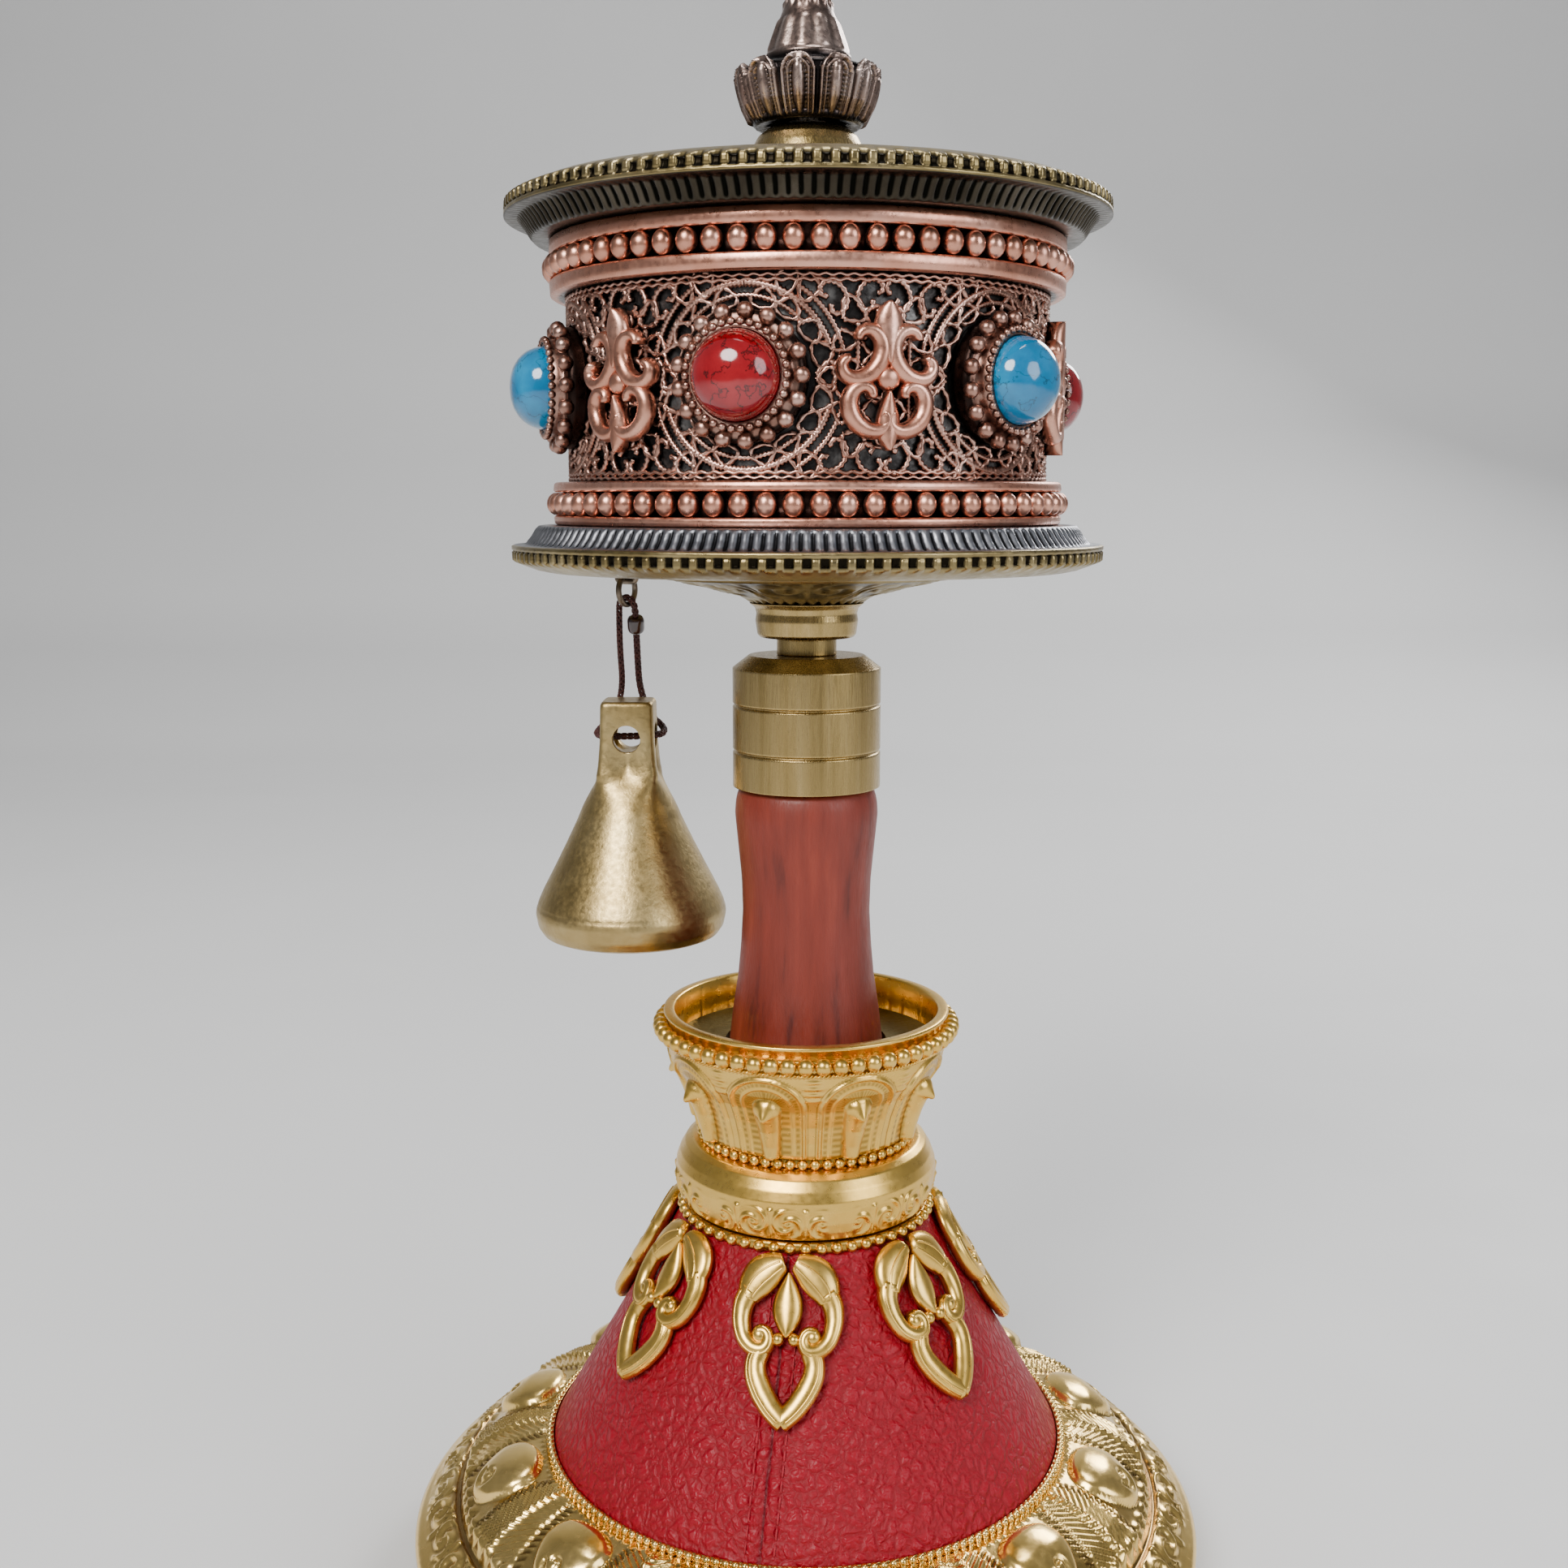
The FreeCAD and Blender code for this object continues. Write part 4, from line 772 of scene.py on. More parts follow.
# Stone settings: six beaded copper bezels, and the polished domed stones in them,
# turquoise and red by turns.
def facing_out(points, degrees):
    """Points (across, up, outward from the axis) turned to stand out of the drum's side."""
    turn = math.radians(degrees)
    out = np.array([math.cos(turn), math.sin(turn), 0.0])
    along = np.array([-math.sin(turn), math.cos(turn), 0.0])
    points = np.asarray(points)
    return (out * points[..., 2:] + along * points[..., :1]
            + np.array([0, 0, 1.0]) * points[..., 1:2] + (0, 0, drum_middle_z))


def dome_points(corners, count, columns, rounding):
    """A round shape about the outward direction: corners are (radius, outward)."""
    line = profile_line(corners, count, rounding)
    turn = round_angles(columns)
    points = np.stack([line[:, :1] * np.cos(turn), line[:, :1] * np.sin(turn),
                       line[:, 1:] + 0 * turn], -1)
    return points, grid_faces(count, columns, False, True, True)


stone_angles = [first_stone + 60 * i for i in range(6)]
setting_parts = []
small_ball, ball_faces = ball(6, 10)
for angle in stone_angles:
    seat, seat_faces = dome_points([(0.1, 28.6), (7.2, 28.9), (7.3, 31.0), (6.9, 31.5),
                                    (5.9, 31.6), (5.75, 33.0), (5.35, 33.4), (5.05, 33.4),
                                    (5.0, 32.5), (0.1, 32.3)], 40, 48, 0.4)
    # Painted shade: the seat below the bezel's rim gets relief 0.1 and is painted dark; the
    # rim gets 0.6.
    depth = seat[..., 2] < 31.4
    setting_parts.append((facing_out(seat, angle), seat_faces, np.where(depth, 0.1, 0.6)))
    for ring, count, outward_mm, size in ((5.72, 34, 33.25, 0.47), (7.0, 17, 31.7, 0.98)):
        turn = round_angles(count)
        centre = np.stack([ring * np.cos(turn), ring * np.sin(turn),
                           np.full(count, outward_mm)], -1)
        balls = centre[:, None] + small_ball[None] * size
        points, faces = copies(ball_faces, balls)
        # Painted shade: each bead is painted darker on its inner half, towards the drum, and
        # lighter outward.
        shade = 0.25 + 0.6 * np.tile(small_ball[:, 2] * 0.5 + 0.5, count)
        setting_parts.append((facing_out(points, angle), faces, shade))
setting_points, setting_faces, setting_relief = joined(setting_parts)
settings_piece = add_mesh("stone_bezels", setting_points, setting_faces, "drum",
                          setting_relief)
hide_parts("stone_settings")
wear([settings_piece], filigree_copper)


vein_effect, nodes, given, shown = effect_group(
    "stone_veins", ["Colour", "Vein", "Width", "Fullest"], ["Colour"],
    {"Colour": "Color", "Vein": "Color"})
coordinates = add_node(nodes, "TexCoord")
field = add_node(nodes, "TexNoise", {"Scale": 330, "Detail": 8.0})
aside = add_node(nodes, "Math", {1: 0.5}, operation="SUBTRACT")
distance = add_node(nodes, "Math", operation="ABSOLUTE")
widths = add_node(nodes, "Math", operation="DIVIDE")
strength = add_node(nodes, "Math", {0: 1.0}, operation="SUBTRACT")
mask = add_node(nodes, "Clamp", {"Min": 0.0})
mix = add_node(nodes, "Mix", data_type="RGBA")
link_all(vein_effect, [
    (coordinates.outputs["Object"], field.inputs["Vector"]),
    (field.outputs["Fac"], aside.inputs[0]), (aside.outputs[0], distance.inputs[0]),
    (distance.outputs[0], widths.inputs[0]), (given["Width"], widths.inputs[1]),
    (widths.outputs[0], strength.inputs[1]), (strength.outputs[0], mask.inputs["Value"]),
    (given["Fullest"], mask.inputs["Max"]), (mask.outputs["Result"], mix.inputs["Factor"]),
    (given["Colour"], mix.inputs["A"]), (given["Vein"], mix.inputs["B"]),
    (mix.outputs["Result"], shown["Colour"])])


def stone_material(name, stops, vein, width, fullest):
    """A polished stone: clouded colour with a few dark veins, under a clear polish."""
    material = finish_material(name, stops, (0.05, 0.14), 0.0, 260, 0.04, coat=0.6)
    tree = material.node_tree
    shader = tree.nodes["Principled BSDF"]
    veined = add_node(tree.nodes, "Group", {
        "Vein": (*vein, 1.0), "Width": width, "Fullest": fullest}, node_tree=vein_effect)
    link_all(tree, [(shader.inputs["Base Color"].links[0].from_socket,
                     veined.inputs["Colour"]),
                    (veined.outputs["Colour"], shader.inputs["Base Color"])])
    for label, value in (("Subsurface Weight", 0.08), ("Subsurface Scale", 0.5),
                         ("Subsurface Radius", (0.002, 0.001, 0.001))):
        shader.inputs[label].default_value = value
    return material


turquoise = stone_material(
    "turquoise", [(0.3, (0.0, 0.12, 0.27)), (0.5, (0.0, 0.17, 0.36)),
                  (0.7, (0.0, 0.24, 0.46))], (0.002, 0.06, 0.11), 0.012, 0.837)
red_stone = stone_material(
    "red_stone", [(0.3, (0.17, 0.001, 0.004)), (0.5, (0.24, 0.002, 0.007)),
                  (0.7, (0.31, 0.006, 0.011))], (0.03, 0.001, 0.001), 0.018, 0.891)
for i, angle in enumerate(stone_angles):
    stone, faces = dome_points(
        [(0.1, 32.35), (4.6, 32.35), (4.95, 32.7), (5.0, 33.3), (4.83, 34.4), (4.35, 35.5),
         (3.54, 36.4), (2.5, 37.05), (1.3, 37.4), (0.1, 37.5)], 64, 96, 1.6)
    piece = add_mesh(f"stone_dome_{i + 1}", facing_out(stone, angle), faces, "drum")
    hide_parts(f"stone_{i + 1}")
    wear([piece], turquoise if i % 2 else red_stone)


# Ornaments: six raised copper palmettes between the stones, cast in one piece each and
# soldered on the filigree: two leaves, four curls and three round knobs.
def palmette():
    """Flat lines and their half widths: a leaf on top, a pair of upper curls, a pair of
    lower curls and a leaf below."""
    t = np.linspace(0, 1, 26)
    leaf = np.stack([0 * t, 8.0 - 6.6 * t], -1)
    foot = np.stack([0 * t, -1.6 - 6.4 * t], -1)
    parts = [(leaf, 0.25 + 1.35 * np.sin(np.pi * t ** 0.8) ** 0.8),
             (foot, 0.25 + 1.1 * np.sin(np.pi * t ** 1.2) ** 0.8)]
    taper = 0.5 + 0.55 * np.sin(np.pi * np.linspace(0, 1, 40)) ** 0.7
    for side in (1, -1):
        for size, x, y, turn in ((5.6, 2.55, 2.1, -150), (5.2, 2.4, -3.7, -32)):
            line = place(curl(size, 4.0, 40), x, y, turn) * (side, 1)
            parts.append((line[::side], taper))
    return parts


# Painted shade: the strips keep their relief from strip(), low near the drum, and band copper
# paints them dark there; the knobs stay bright.
for i, angle in enumerate(stone_angles):
    parts = []
    for line, wide in palmette():
        parts.append(strip(line + (0, drum_middle_z), wide, 30.0, 32.3,
                           lambda f, h, a=angle + 30: on_drum(f, h, a), 0.0, 14))
    for x, y, size in ((0, -0.2, 1.45), (1.5, 4.9, 0.7), (-1.5, 4.9, 0.7)):
        knob = small_ball * (size, size, 1.0)
        flat = knob[:, :2] + (x, y + drum_middle_z)
        parts.append((on_drum(flat, 31.15 + knob[:, 2] * 1.1, angle + 30), ball_faces, 0.8))
    ornament_points, ornament_faces, ornament_relief = joined(parts)
    piece = add_mesh(f"palmette_{i + 1}", ornament_points, ornament_faces, "drum",
                     ornament_relief)
    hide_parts(f"ornament_{i + 1}")
    wear([piece], band_copper)


# Finial: cast lotus bud and spire of copper-toned silver, painted dark as shade in its
#  hollows so that its raised edges stand out, screwed on the spindle's end.
def petal(x, y):
    """Relief of one arched petal over x from -1 to 1 and y from 0 at its foot to 1 at its
    top: a raised double rim that follows the arch, with fine hatching inside it."""
    shoulder, half = 0.6, 0.9
    above = np.maximum(y - shoulder, 0) / (0.97 - shoulder)
    spread = np.sqrt((x / half) ** 2 + above ** 2)
    inside = half * (1 - spread)
    follow = np.where(y < shoulder, y, shoulder + 0.5 * np.arctan2(above, np.abs(x) + 1e-6))
    hatch = 0.5 + 0.5 * np.cos(follow * 2 * np.pi * 15)
    outer, inner = hump(inside, 0.09, 0.075), hump(inside, 0.34, 0.055)
    lines = 0.3 * hatch * between(inside, 0.15, 0.62, 0.06)
    body = between(inside, 0.0, 2, 0.05)
    return body * np.maximum(np.maximum(outer, inner * 0.7), lines)


def finial():
    """The bud's outline with eleven petals raised on it, and rings of ribs on the spire."""
    line = stepped([
        (2.2, 193.0, 0), (5.6, 192.3, 4), (6.47, 192.2, 3), (7.3, 192.8, 5),
        (8.1, 194.4, 8), (8.6, 196.0, 10), (9.0, 197.6, 10), (8.9, 198.7, 7),
        (7.6, 199.5, 8), (5.7, 200.0, 6), (5.0, 200.8, 6), (4.6, 202.0, 8),
        (4.0, 203.6, 8), (3.5, 204.9, 5), (2.9, 206.4, 6), (2.55, 207.5, 6),
        (2.6, 208.6, 5), (3.05, 210.3, 8), (3.1, 211.6, 6), (2.7, 213.6, 8),
        (1.9, 215.6, 8), (1.0, 217.3, 8), (0.2, 218.4, 6)])
    angle = round_angles(330)
    z = line[:, 1:]
    x = ((angle * 11 / (2 * np.pi) + 0.5) % 1.0) * 2 - 1
    y = (z - 192.6) / 7.0
    rib = np.sqrt(np.clip(1 - (x / 0.34) ** 2 - ((y - 0.42) / 0.5) ** 2, 0, 1))
    bud = np.maximum(petal(x[None] * 1.02, y), rib) * between(z, 192.6, 199.9, 0.4)
    ring = between(z, 200.8, 204.6, 0.8) * (0.5 + 0.5 * np.cos(angle * 11)) * 0.6
    tip = between(z, 208.9, 216.5, 1.0) * (0.5 + 0.5 * np.cos(angle * 6)) * 0.7
    beads = hump(z, 206.6, 0.5) * (0.5 + 0.5 * np.cos(angle * 16))
    height = 0.85 * bud + 0.4 * ring + 0.35 * tip + 0.3 * beads
    height -= 0.65 * between(z, 192.6, 200.2, 0.4)
    # Painted shade: relief is low on the bud between and inside the petals' rims, and the
    # material paints these hollows dark.
    relief = np.clip(0.2 + bud * 0.9 + 0.4 * between(z, 200.3, 220, 0.4) + ring + tip + beads,
                     0, 1)
    return add_mesh("finial_cast", turned_points(line, 330, height),
                    grid_faces(len(line), 330, False, True, True), "grip", relief)


finial_piece = finial()
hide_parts("finial")
wear([finial_piece], finish_material(
    "aged_silver_painted_shade", [(0.25, (0.22, 0.14, 0.115)), (0.5, (0.36, 0.26, 0.22)),
                    (0.78, (0.52, 0.42, 0.38))], (0.22, 0.4), 1.0, 200, 0.35,
    painted_shade=(0.016, 0.013, 0.013), painted_shade_range=(0.42, 1.02)))

# Stand, base: embossed pale gold sheet with a plain rolled edge, spun over a turned wooden
# board with felt glued under it, and a beaded ring where it meets the leather.
# Pale gold paints its shade colour where relief is low, in the base's grooves and hollows.
pale_gold = finish_material(
    "pale_gold", [(0.25, (0.82, 0.54, 0.15)), (0.5, (0.89, 0.61, 0.19)),
                  (0.78, (0.94, 0.68, 0.26))], (0.16, 0.28), 1.0, 110, 0.2,
    painted_shade=(0.20, 0.11, 0.03), painted_shade_range=(0.17, 0.57))


def base_skirt():
    """The dish's outline with twelve egg-shaped bosses, each with a curled dimple, fans of
    slanting feather ribs between them, lines of small teeth, and a ring of scrolls."""
    line = stepped([
        (34.95, 18.6, 0), (34.97, 19.5, 1), (36.5, 19.6, 4), (38.5, 19.25, 8),
        (41.0, 18.4, 12), (44.0, 16.7, 13), (46.5, 14.6, 9), (47.3, 13.4, 4),
        (47.7, 13.0, 2), (48.2, 13.0, 2), (48.7, 12.9, 2), (50.5, 11.2, 6),
        (52.4, 9.6, 6), (53.2, 9.1, 3), (53.7, 8.5, 2), (53.77, 8.0, 2), (53.6, 7.2, 2),
        (53.2, 6.6, 1), (53.2, 1.45, 1), (52.4, 1.45, 1), (52.4, 6.4, 1),
        (47.0, 12.0, 1), (41.0, 16.9, 1), (36.0, 18.5, 1)])[::-1]
    columns = 960
    angle = round_angles(columns)
    r, z = line[:, :1], line[:, 1:]
    cell = (angle + np.pi / 2) * 12 / (2 * np.pi)
    x = ((cell % 1.0) * 2 - 1)[None] * r * np.pi / 12
    across = x / 5.0
    out = (r - 41.3) / 4.6
    taper = 1 - 0.16 * out
    egg = np.clip(1 - (across / taper) ** 2 - out ** 2, 0, 1) ** 0.5
    dx, dy = x - 0.3, (r - 43.2)
    ring, turn = np.hypot(dx, dy), np.arctan2(dy, dx)
    comma = hump(ring, 0.9 + 0.18 * turn, 0.3) * (ring < 2.3)
    side = np.abs(x) - 5.2
    gap = np.clip(side / 0.5, 0, 1) * between(r, 36.6, 46.4, 0.8)
    rib = 0.5 + 0.5 * np.cos((r * 1.25 + np.abs(np.pi * r / 12 - np.abs(x)) * 0.9) * 5.2)
    spine = hump(np.abs(x), np.pi * r / 12, 0.45)
    teeth = hump(r, 36.1, 0.35) * (0.5 + 0.5 * np.cos(angle * 176))
    edge = hump(egg, 0.0, 0.28) * (np.abs(across) < 1.35) * (np.abs(out) < 1.25)
    pearls = hump(r, 46.6, 0.5) * np.abs(np.cos(angle * 60)) ** 0.7
    leaf = scrolls(angle + 0 * r, (r - 50.2) / 1.9 + 0 * angle, 48)
    upper = (r < 47.5) & (z > 13.0)
    acanthus = between(r, 48.4, 51.9, 0.4) * (z > 9.0)
    height = upper * (1.75 * egg - 0.55 * comma * (egg > 0.1) + gap * (0.42 * rib - 0.1)
                      + 0.55 * spine * gap + 0.3 * teeth - 0.25 * edge + 0.5 * pearls)
    height = height + acanthus * (0.55 * leaf - 0.1) - 0.45 * hump(r, 48.0, 0.35) * (z > 12)
    # Painted shade: relief is lowered between the feather ribs, round the foot of each boss,
    # in its dimple, between the scrolls and in the groove at 48 mm, and pale gold paints
    # these places dark.
    relief = (0.75 + upper * (gap * (rib - 0.8) * 0.5 + 0.25 * egg - 0.5 * edge
                              - comma * 0.3) + acanthus * (leaf - 0.7) * 0.7
              - 0.9 * hump(r, 48.0, 0.5) * (z > 12))
    relief = np.clip(relief, 0, 1)
    return add_mesh("base_dish", turned_points(line, columns, height),
                    grid_faces(len(line), columns, True), "stand", relief)


skirt_piece = base_skirt()
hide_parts("base_skirt")
hem = ring_balls(35.35, 184, 20.25, (0.56, 0.56, 0.56), rows=5, columns=10)
flutes = ring_balls(35.5, 184, 19.55, (0.42, 0.42, 0.75), rows=4, columns=8)
hem_line = turned_points(profile_line([(34.78, 19.55), (35.3, 19.55), (35.4, 20.2),
                                       (34.95, 20.55), (34.78, 20.4), (34.78, 19.55)],
                                      24)[:-1], 368)
# Painted shade: the ring under the pearls gets low relief and is painted dark.
hem_points, hem_faces, hem_relief = joined([
    (*hem, 0.9), (*flutes, 0.6), (hem_line, grid_faces(23, 368, True), 0.2)])
hem_piece = add_mesh("hem_pearls", hem_points, hem_faces, "stand", hem_relief)
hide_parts("hem_beads")
wear([skirt_piece, hem_piece], pale_gold)
turned_wood = finish_material(
    "plain_wood", [(0.3, (0.30, 0.18, 0.09)), (0.7, (0.46, 0.30, 0.17))],
    (0.45, 0.65), 0.0, 90, 0.3, stretch=(1, 1, 6))
wear([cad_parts["base_plate"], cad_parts["cone_core"]], turned_wood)
felt = finish_material("felt", [(0.3, (0.012, 0.02, 0.015)), (0.7, (0.03, 0.045, 0.035))],
                       (0.85, 1.0), 0.0, 1500, 1.0)
wear([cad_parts["felt_pad"]], felt)

# Stand, cone: crimson pebbled leather, its edges butted in front and sewn with two rows of
# red thread through the leather.
cone_foot_radius, cone_foot_z, cone_top_radius, cone_top_z = 34.66, 20.4, 16.6, 51.9
cone_normal = (0.8675, 0.4974)


def cone_radius(z):
    """Radius of the cone's face at a height: it shrinks evenly from the foot to the top."""
    return cone_foot_radius - (z - cone_foot_z) * 0.57333


def on_cone(flat, height, angle):
    """Flat (x, height z) in millimetres laid on the leather's cone, from a given angle, and
    raised by height along the cone's normal."""
    turn_radius = cone_radius(flat[..., 1])
    turn = np.radians(angle) + flat[..., 0] / turn_radius
    reach = turn_radius + height * cone_normal[0]
    return np.stack([reach * np.cos(turn), reach * np.sin(turn),
                     flat[..., 1] + height * cone_normal[1]], -1)


def seam_angle(z):
    """Angle of the butt seam, which runs slightly aslant down the front."""
    return np.radians(-99.3 + 1.9 * (z - cone_foot_z) / (cone_top_z - cone_foot_z))


def leather_cover():
    """The cone, with a closed groove at the seam, low swellings beside it where the thread
    pulls, and soft puckers across it."""
    line = stepped([
        (33.65, 20.0, 0), (34.4, 20.0, 1), (cone_foot_radius, 20.25, 1),
        (cone_foot_radius, cone_foot_z, 1), (cone_top_radius, cone_top_z, 110),
        (15.6, cone_top_z, 1), (15.0, 51.8, 1)])
    columns = 640
    angle = round_angles(columns)
    z = line[:, 1:]
    aside = ((angle - seam_angle(z) + np.pi) % (2 * np.pi) - np.pi) * line[:, :1]
    pull = hump(np.abs(aside), 0.95, 0.6) * (0.8 + 0.2 * np.sin(z * 3.7))
    pucker = np.exp(-np.abs(aside) / 2.2) * np.sin(z * 2.9 + aside * 0.4) * 0.06
    height = (0.16 * pull - 0.42 * hump(aside, 0, 0.2) - 0.14 * hump(np.abs(aside), 1.8, 0.25)
              + pucker) * between(z, 20.6, 51.6, 0.3)
    points = turned_points(line, columns, height)
    # Painted shade: relief is low along the seam groove, and the leather's material paints it
    # dark there.
    return add_mesh("leather_skin", points, grid_faces(len(line), columns), "stand",
                    np.clip(0.8 - hump(aside, 0, 0.22) + 0 * height, 0, 1))


def leather_material():
    """Pebble grain: rounded cells of uneven size with creases between, finer within."""
    material, tree, shader = blank_material("red_leather")
    nodes = tree.nodes
    coordinates = add_node(nodes, "TexCoord")
    warp = add_node(nodes, "TexNoise", {"Scale": 220, "Detail": 3})
    shift = add_node(nodes, "VectorMath", {1: (0.0022, 0.0022, 0.0022)},
                     operation="MULTIPLY_ADD")
    link_all(tree, [(coordinates.outputs["Object"], warp.inputs["Vector"]),
                    (warp.outputs["Color"], shift.inputs[0]),
                    (coordinates.outputs["Object"], shift.inputs[2])])
    pebbles = []
    for scale in (600, 1300):
        cells = add_node(nodes, "TexVoronoi", {"Scale": scale}, feature="DISTANCE_TO_EDGE")
        rounded = add_node(nodes, "MapRange", {"From Max": 0.32},
                           interpolation_type="SMOOTHSTEP")
        link_all(tree, [(shift.outputs["Vector"], cells.inputs["Vector"]),
                        (cells.outputs["Distance"], rounded.inputs["Value"])])
        pebbles.append(rounded.outputs["Result"])
    fine = add_node(nodes, "TexNoise", {"Scale": 2600, "Detail": 4.0})
    both = add_node(nodes, "Math", {1: 0.35}, operation="MULTIPLY_ADD")
    grain = add_node(nodes, "Math", {1: 0.12}, operation="MULTIPLY_ADD")
    raised = add_node(nodes, "Bump", {"Strength": 0.8, "Distance": 0.00022})
    # Painted shade: the colour follows the grain's height, darker in the creases between the
    # pebbles.
    colour = ramp(nodes, tree.links, grain.outputs["Value"], [
        (0.0, (0.20, 0.0, 0.006)), (0.35, (0.25, 0.001, 0.010)), (1.0, (0.28, 0.001, 0.012))])
    # Painted shade: the seam's low relief mixes in a dark red.
    seam = add_node(nodes, "Group", {"Painted Shade": (0.10, 0.003, 0.008, 1.0), "Clouds": 0.0,
                                     "Low": 0.0, "High": 0.6}, node_tree=shade_in_hollows_effect)
    uneven = add_node(nodes, "MapRange", {"To Min": 0.55, "To Max": 0.42})
    link_all(tree, [
        (coordinates.outputs["Object"], fine.inputs["Vector"]),
        (pebbles[1], both.inputs[0]), (pebbles[0], both.inputs[2]),
        (fine.outputs["Fac"], grain.inputs[0]), (both.outputs["Value"], grain.inputs[2]),
        (grain.outputs["Value"], raised.inputs["Height"]),
        (raised.outputs["Normal"], shader.inputs["Normal"]),
        (colour, seam.inputs["Colour"]),
        (seam.outputs["Colour"], shader.inputs["Base Color"]),
        (pebbles[0], uneven.inputs["Value"]),
        (uneven.outputs["Result"], shader.inputs["Roughness"])])
    shader.inputs["Specular IOR Level"].default_value = 0.28
    return material


leather_piece = leather_cover()
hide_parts("leather_cover")
wear([leather_piece], leather_material())
thread_radius, stitches = 0.13, []
for side_of_seam in (-1.8, 1.8):
    for low in np.arange(21.2, 50.6, 1.55):
        z = low + np.linspace(0, 1.2, 7)
        arch = 0.16 * np.sin(np.linspace(0, np.pi, 7)) - 0.02
        aside = seam_angle(z) + side_of_seam / cone_radius(z)
        path = on_cone(np.stack([0 * z, z], -1), arch, np.degrees(aside))
        stitches.append(tube(path, thread_radius, thread_radius, (0.0, -0.87, 0.5)))
stitch_points, stitch_faces = joined(stitches)[:2]
stitch_piece = add_mesh("seam_thread", stitch_points, stitch_faces, "stand")
wear([stitch_piece], finish_material(
    "red_thread", [(0.3, (0.26, 0.004, 0.012)), (0.7, (0.42, 0.012, 0.03))],
    (0.5, 0.7), 0.0, 1200, 0.8))


# Pendants: seven cast leaf ornaments in satin gold, pinned on the leather: two spreading
# leaves with parallel ridges, a spear between them, two curls and a pointed open loop.
# Satin gold paints its shade colour where relief is low: on the pendants' strips near the
# leather, and in the hollows of the collar, washers and cup.
satin_gold = finish_material(
    "satin_gold", [(0.25, (0.74, 0.45, 0.09)), (0.5, (0.79, 0.50, 0.11)),
                   (0.78, (0.83, 0.55, 0.15))], (0.26, 0.34), 1.0, 140, 0.1,
    painted_shade=(0.17, 0.085, 0.012), painted_shade_range=(0.17, 0.67))


def pendant_parts():
    """Strips of one pendant: (flat line, half width, low, high). Each half width swells
    along its line as a sine, and thin strips on top make the ridges."""
    t, easing = np.linspace(0, 1, 40), 2.2
    parts = [(np.stack([0 * t, 49.8 - 6.8 * t], -1),
              0.15 + 1.75 * np.sin(np.pi * t ** 1.2) ** 0.8, 0.1, 2.2)]
    leaf = profile_line([(0.7, 50.9), (2.0, 50.3), (3.5, 49.2), (4.5, 47.9), (4.9, 46.7)],
                        40, easing)
    leaf_wide = 0.75 + 1.35 * np.sin(np.pi * np.clip(t * 0.85 + 0.05, 0, 1)) ** 0.8
    arm = profile_line([(4.6, 47.6), (5.5, 46.2), (5.7, 44.4), (5.2, 42.6), (4.0, 41.6),
                        (2.5, 41.6), (1.9, 42.8), (2.6, 43.8), (3.5, 43.4)], 40, easing)
    arm_wide = 1.3 - 0.65 * t ** 1.5
    loop = profile_line([(2.8, 41.8), (3.6, 40.4), (3.5, 38.9), (2.6, 37.2), (1.4, 35.7),
                         (-0.2, 34.3)], 40, easing)
    loop_wide = 1.15 + 0.3 * np.sin(np.pi * t)
    for side in (1, -1):
        for line, wide, high, ridges in (
                (leaf, leaf_wide, 2.35, (-0.45, 0.1)), (arm, arm_wide, 2.4, (0.5,)),
                (loop, loop_wide, 2.3, (0.35, 0.65))):
            parts.append((line * (side, 1), wide, 0.1, high))
            along = unit(np.gradient(line, axis=0))
            across = np.stack([-along[:, 1], along[:, 0]], -1)
            for share in ridges:
                beside = line + across * (share * wide)[:, None]
                parts.append((beside[2:-2] * (side, 1), 0.2, high - 0.95,
                              high + 0.12 - 0.9 * share ** 2))
    return parts


pendant_shapes = pendant_parts()
for i in range(7):
    angle = -96.0 + 360.0 * i / 7
    parts = [strip(line, wide, low, high, lambda f, h: on_cone(f, h, angle), 0.0, 10)
             for line, wide, low, high in pendant_shapes]
    for side in (1, -1):
        for x, y, size in ((3.2, 43.1, 0.95), (0.95, 42.8, 0.75)):
            knob = small_ball * (size, size, 1.0)
            parts.append((on_cone(knob[:, :2] + (x * side, y), 1.4 + knob[:, 2], angle),
                          ball_faces, 0.85))
    pendant_points, pendant_faces, pendant_relief = joined(parts)
    piece = add_mesh(f"pendant_leaf_{i + 1}", pendant_points, pendant_faces, "stand",
                     pendant_relief)
    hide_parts(f"pendant_{i + 1}")
    wear([piece], satin_gold)


# Collar: satin gold ring, smooth above and with scrolls in relief below. It sits between
# two beaded washers, and a third beaded ring is fixed under the cup's lip.
def collar():
    """The ring's outline, its lower outer half raised in a row of scrolls."""
    line = stepped([
        (11.8, 53.42, 0), (15.6, 53.42, 3), (16.5, 53.75, 5), (17.0, 54.8, 8),
        (17.34, 56.1, 10), (17.6, 57.76, 12), (17.5, 59.0, 8), (17.02, 60.3, 8),
        (16.3, 61.5, 8), (15.4, 62.15, 5), (14.8, 62.2, 2), (11.8, 62.2, 2)])
    angle = round_angles(768)
    r, z = line[:, :1], line[:, 1:]
    group = between(np.cos(6 * (angle + 1.83)), -0.75, 2.0, 0.3)
    low = between(z, 54.0, 58.2, 0.5) * (r > 16) * group
    leaf = scrolls(angle + 0 * r, (z - 56.1) / 2.2 + 0 * angle, 24)
    height = low * 0.36 * leaf
    # Painted shade: relief is lowered between the scrolls, and satin gold paints them dark.
    relief = np.clip(0.85 + low * (leaf - 0.7) * 0.6, 0, 1)
    return add_mesh("collar_ring", turned_points(line, 768, height),
                    grid_faces(len(line), 768, True), "stand", relief)


collar_piece = collar()
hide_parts("collar")


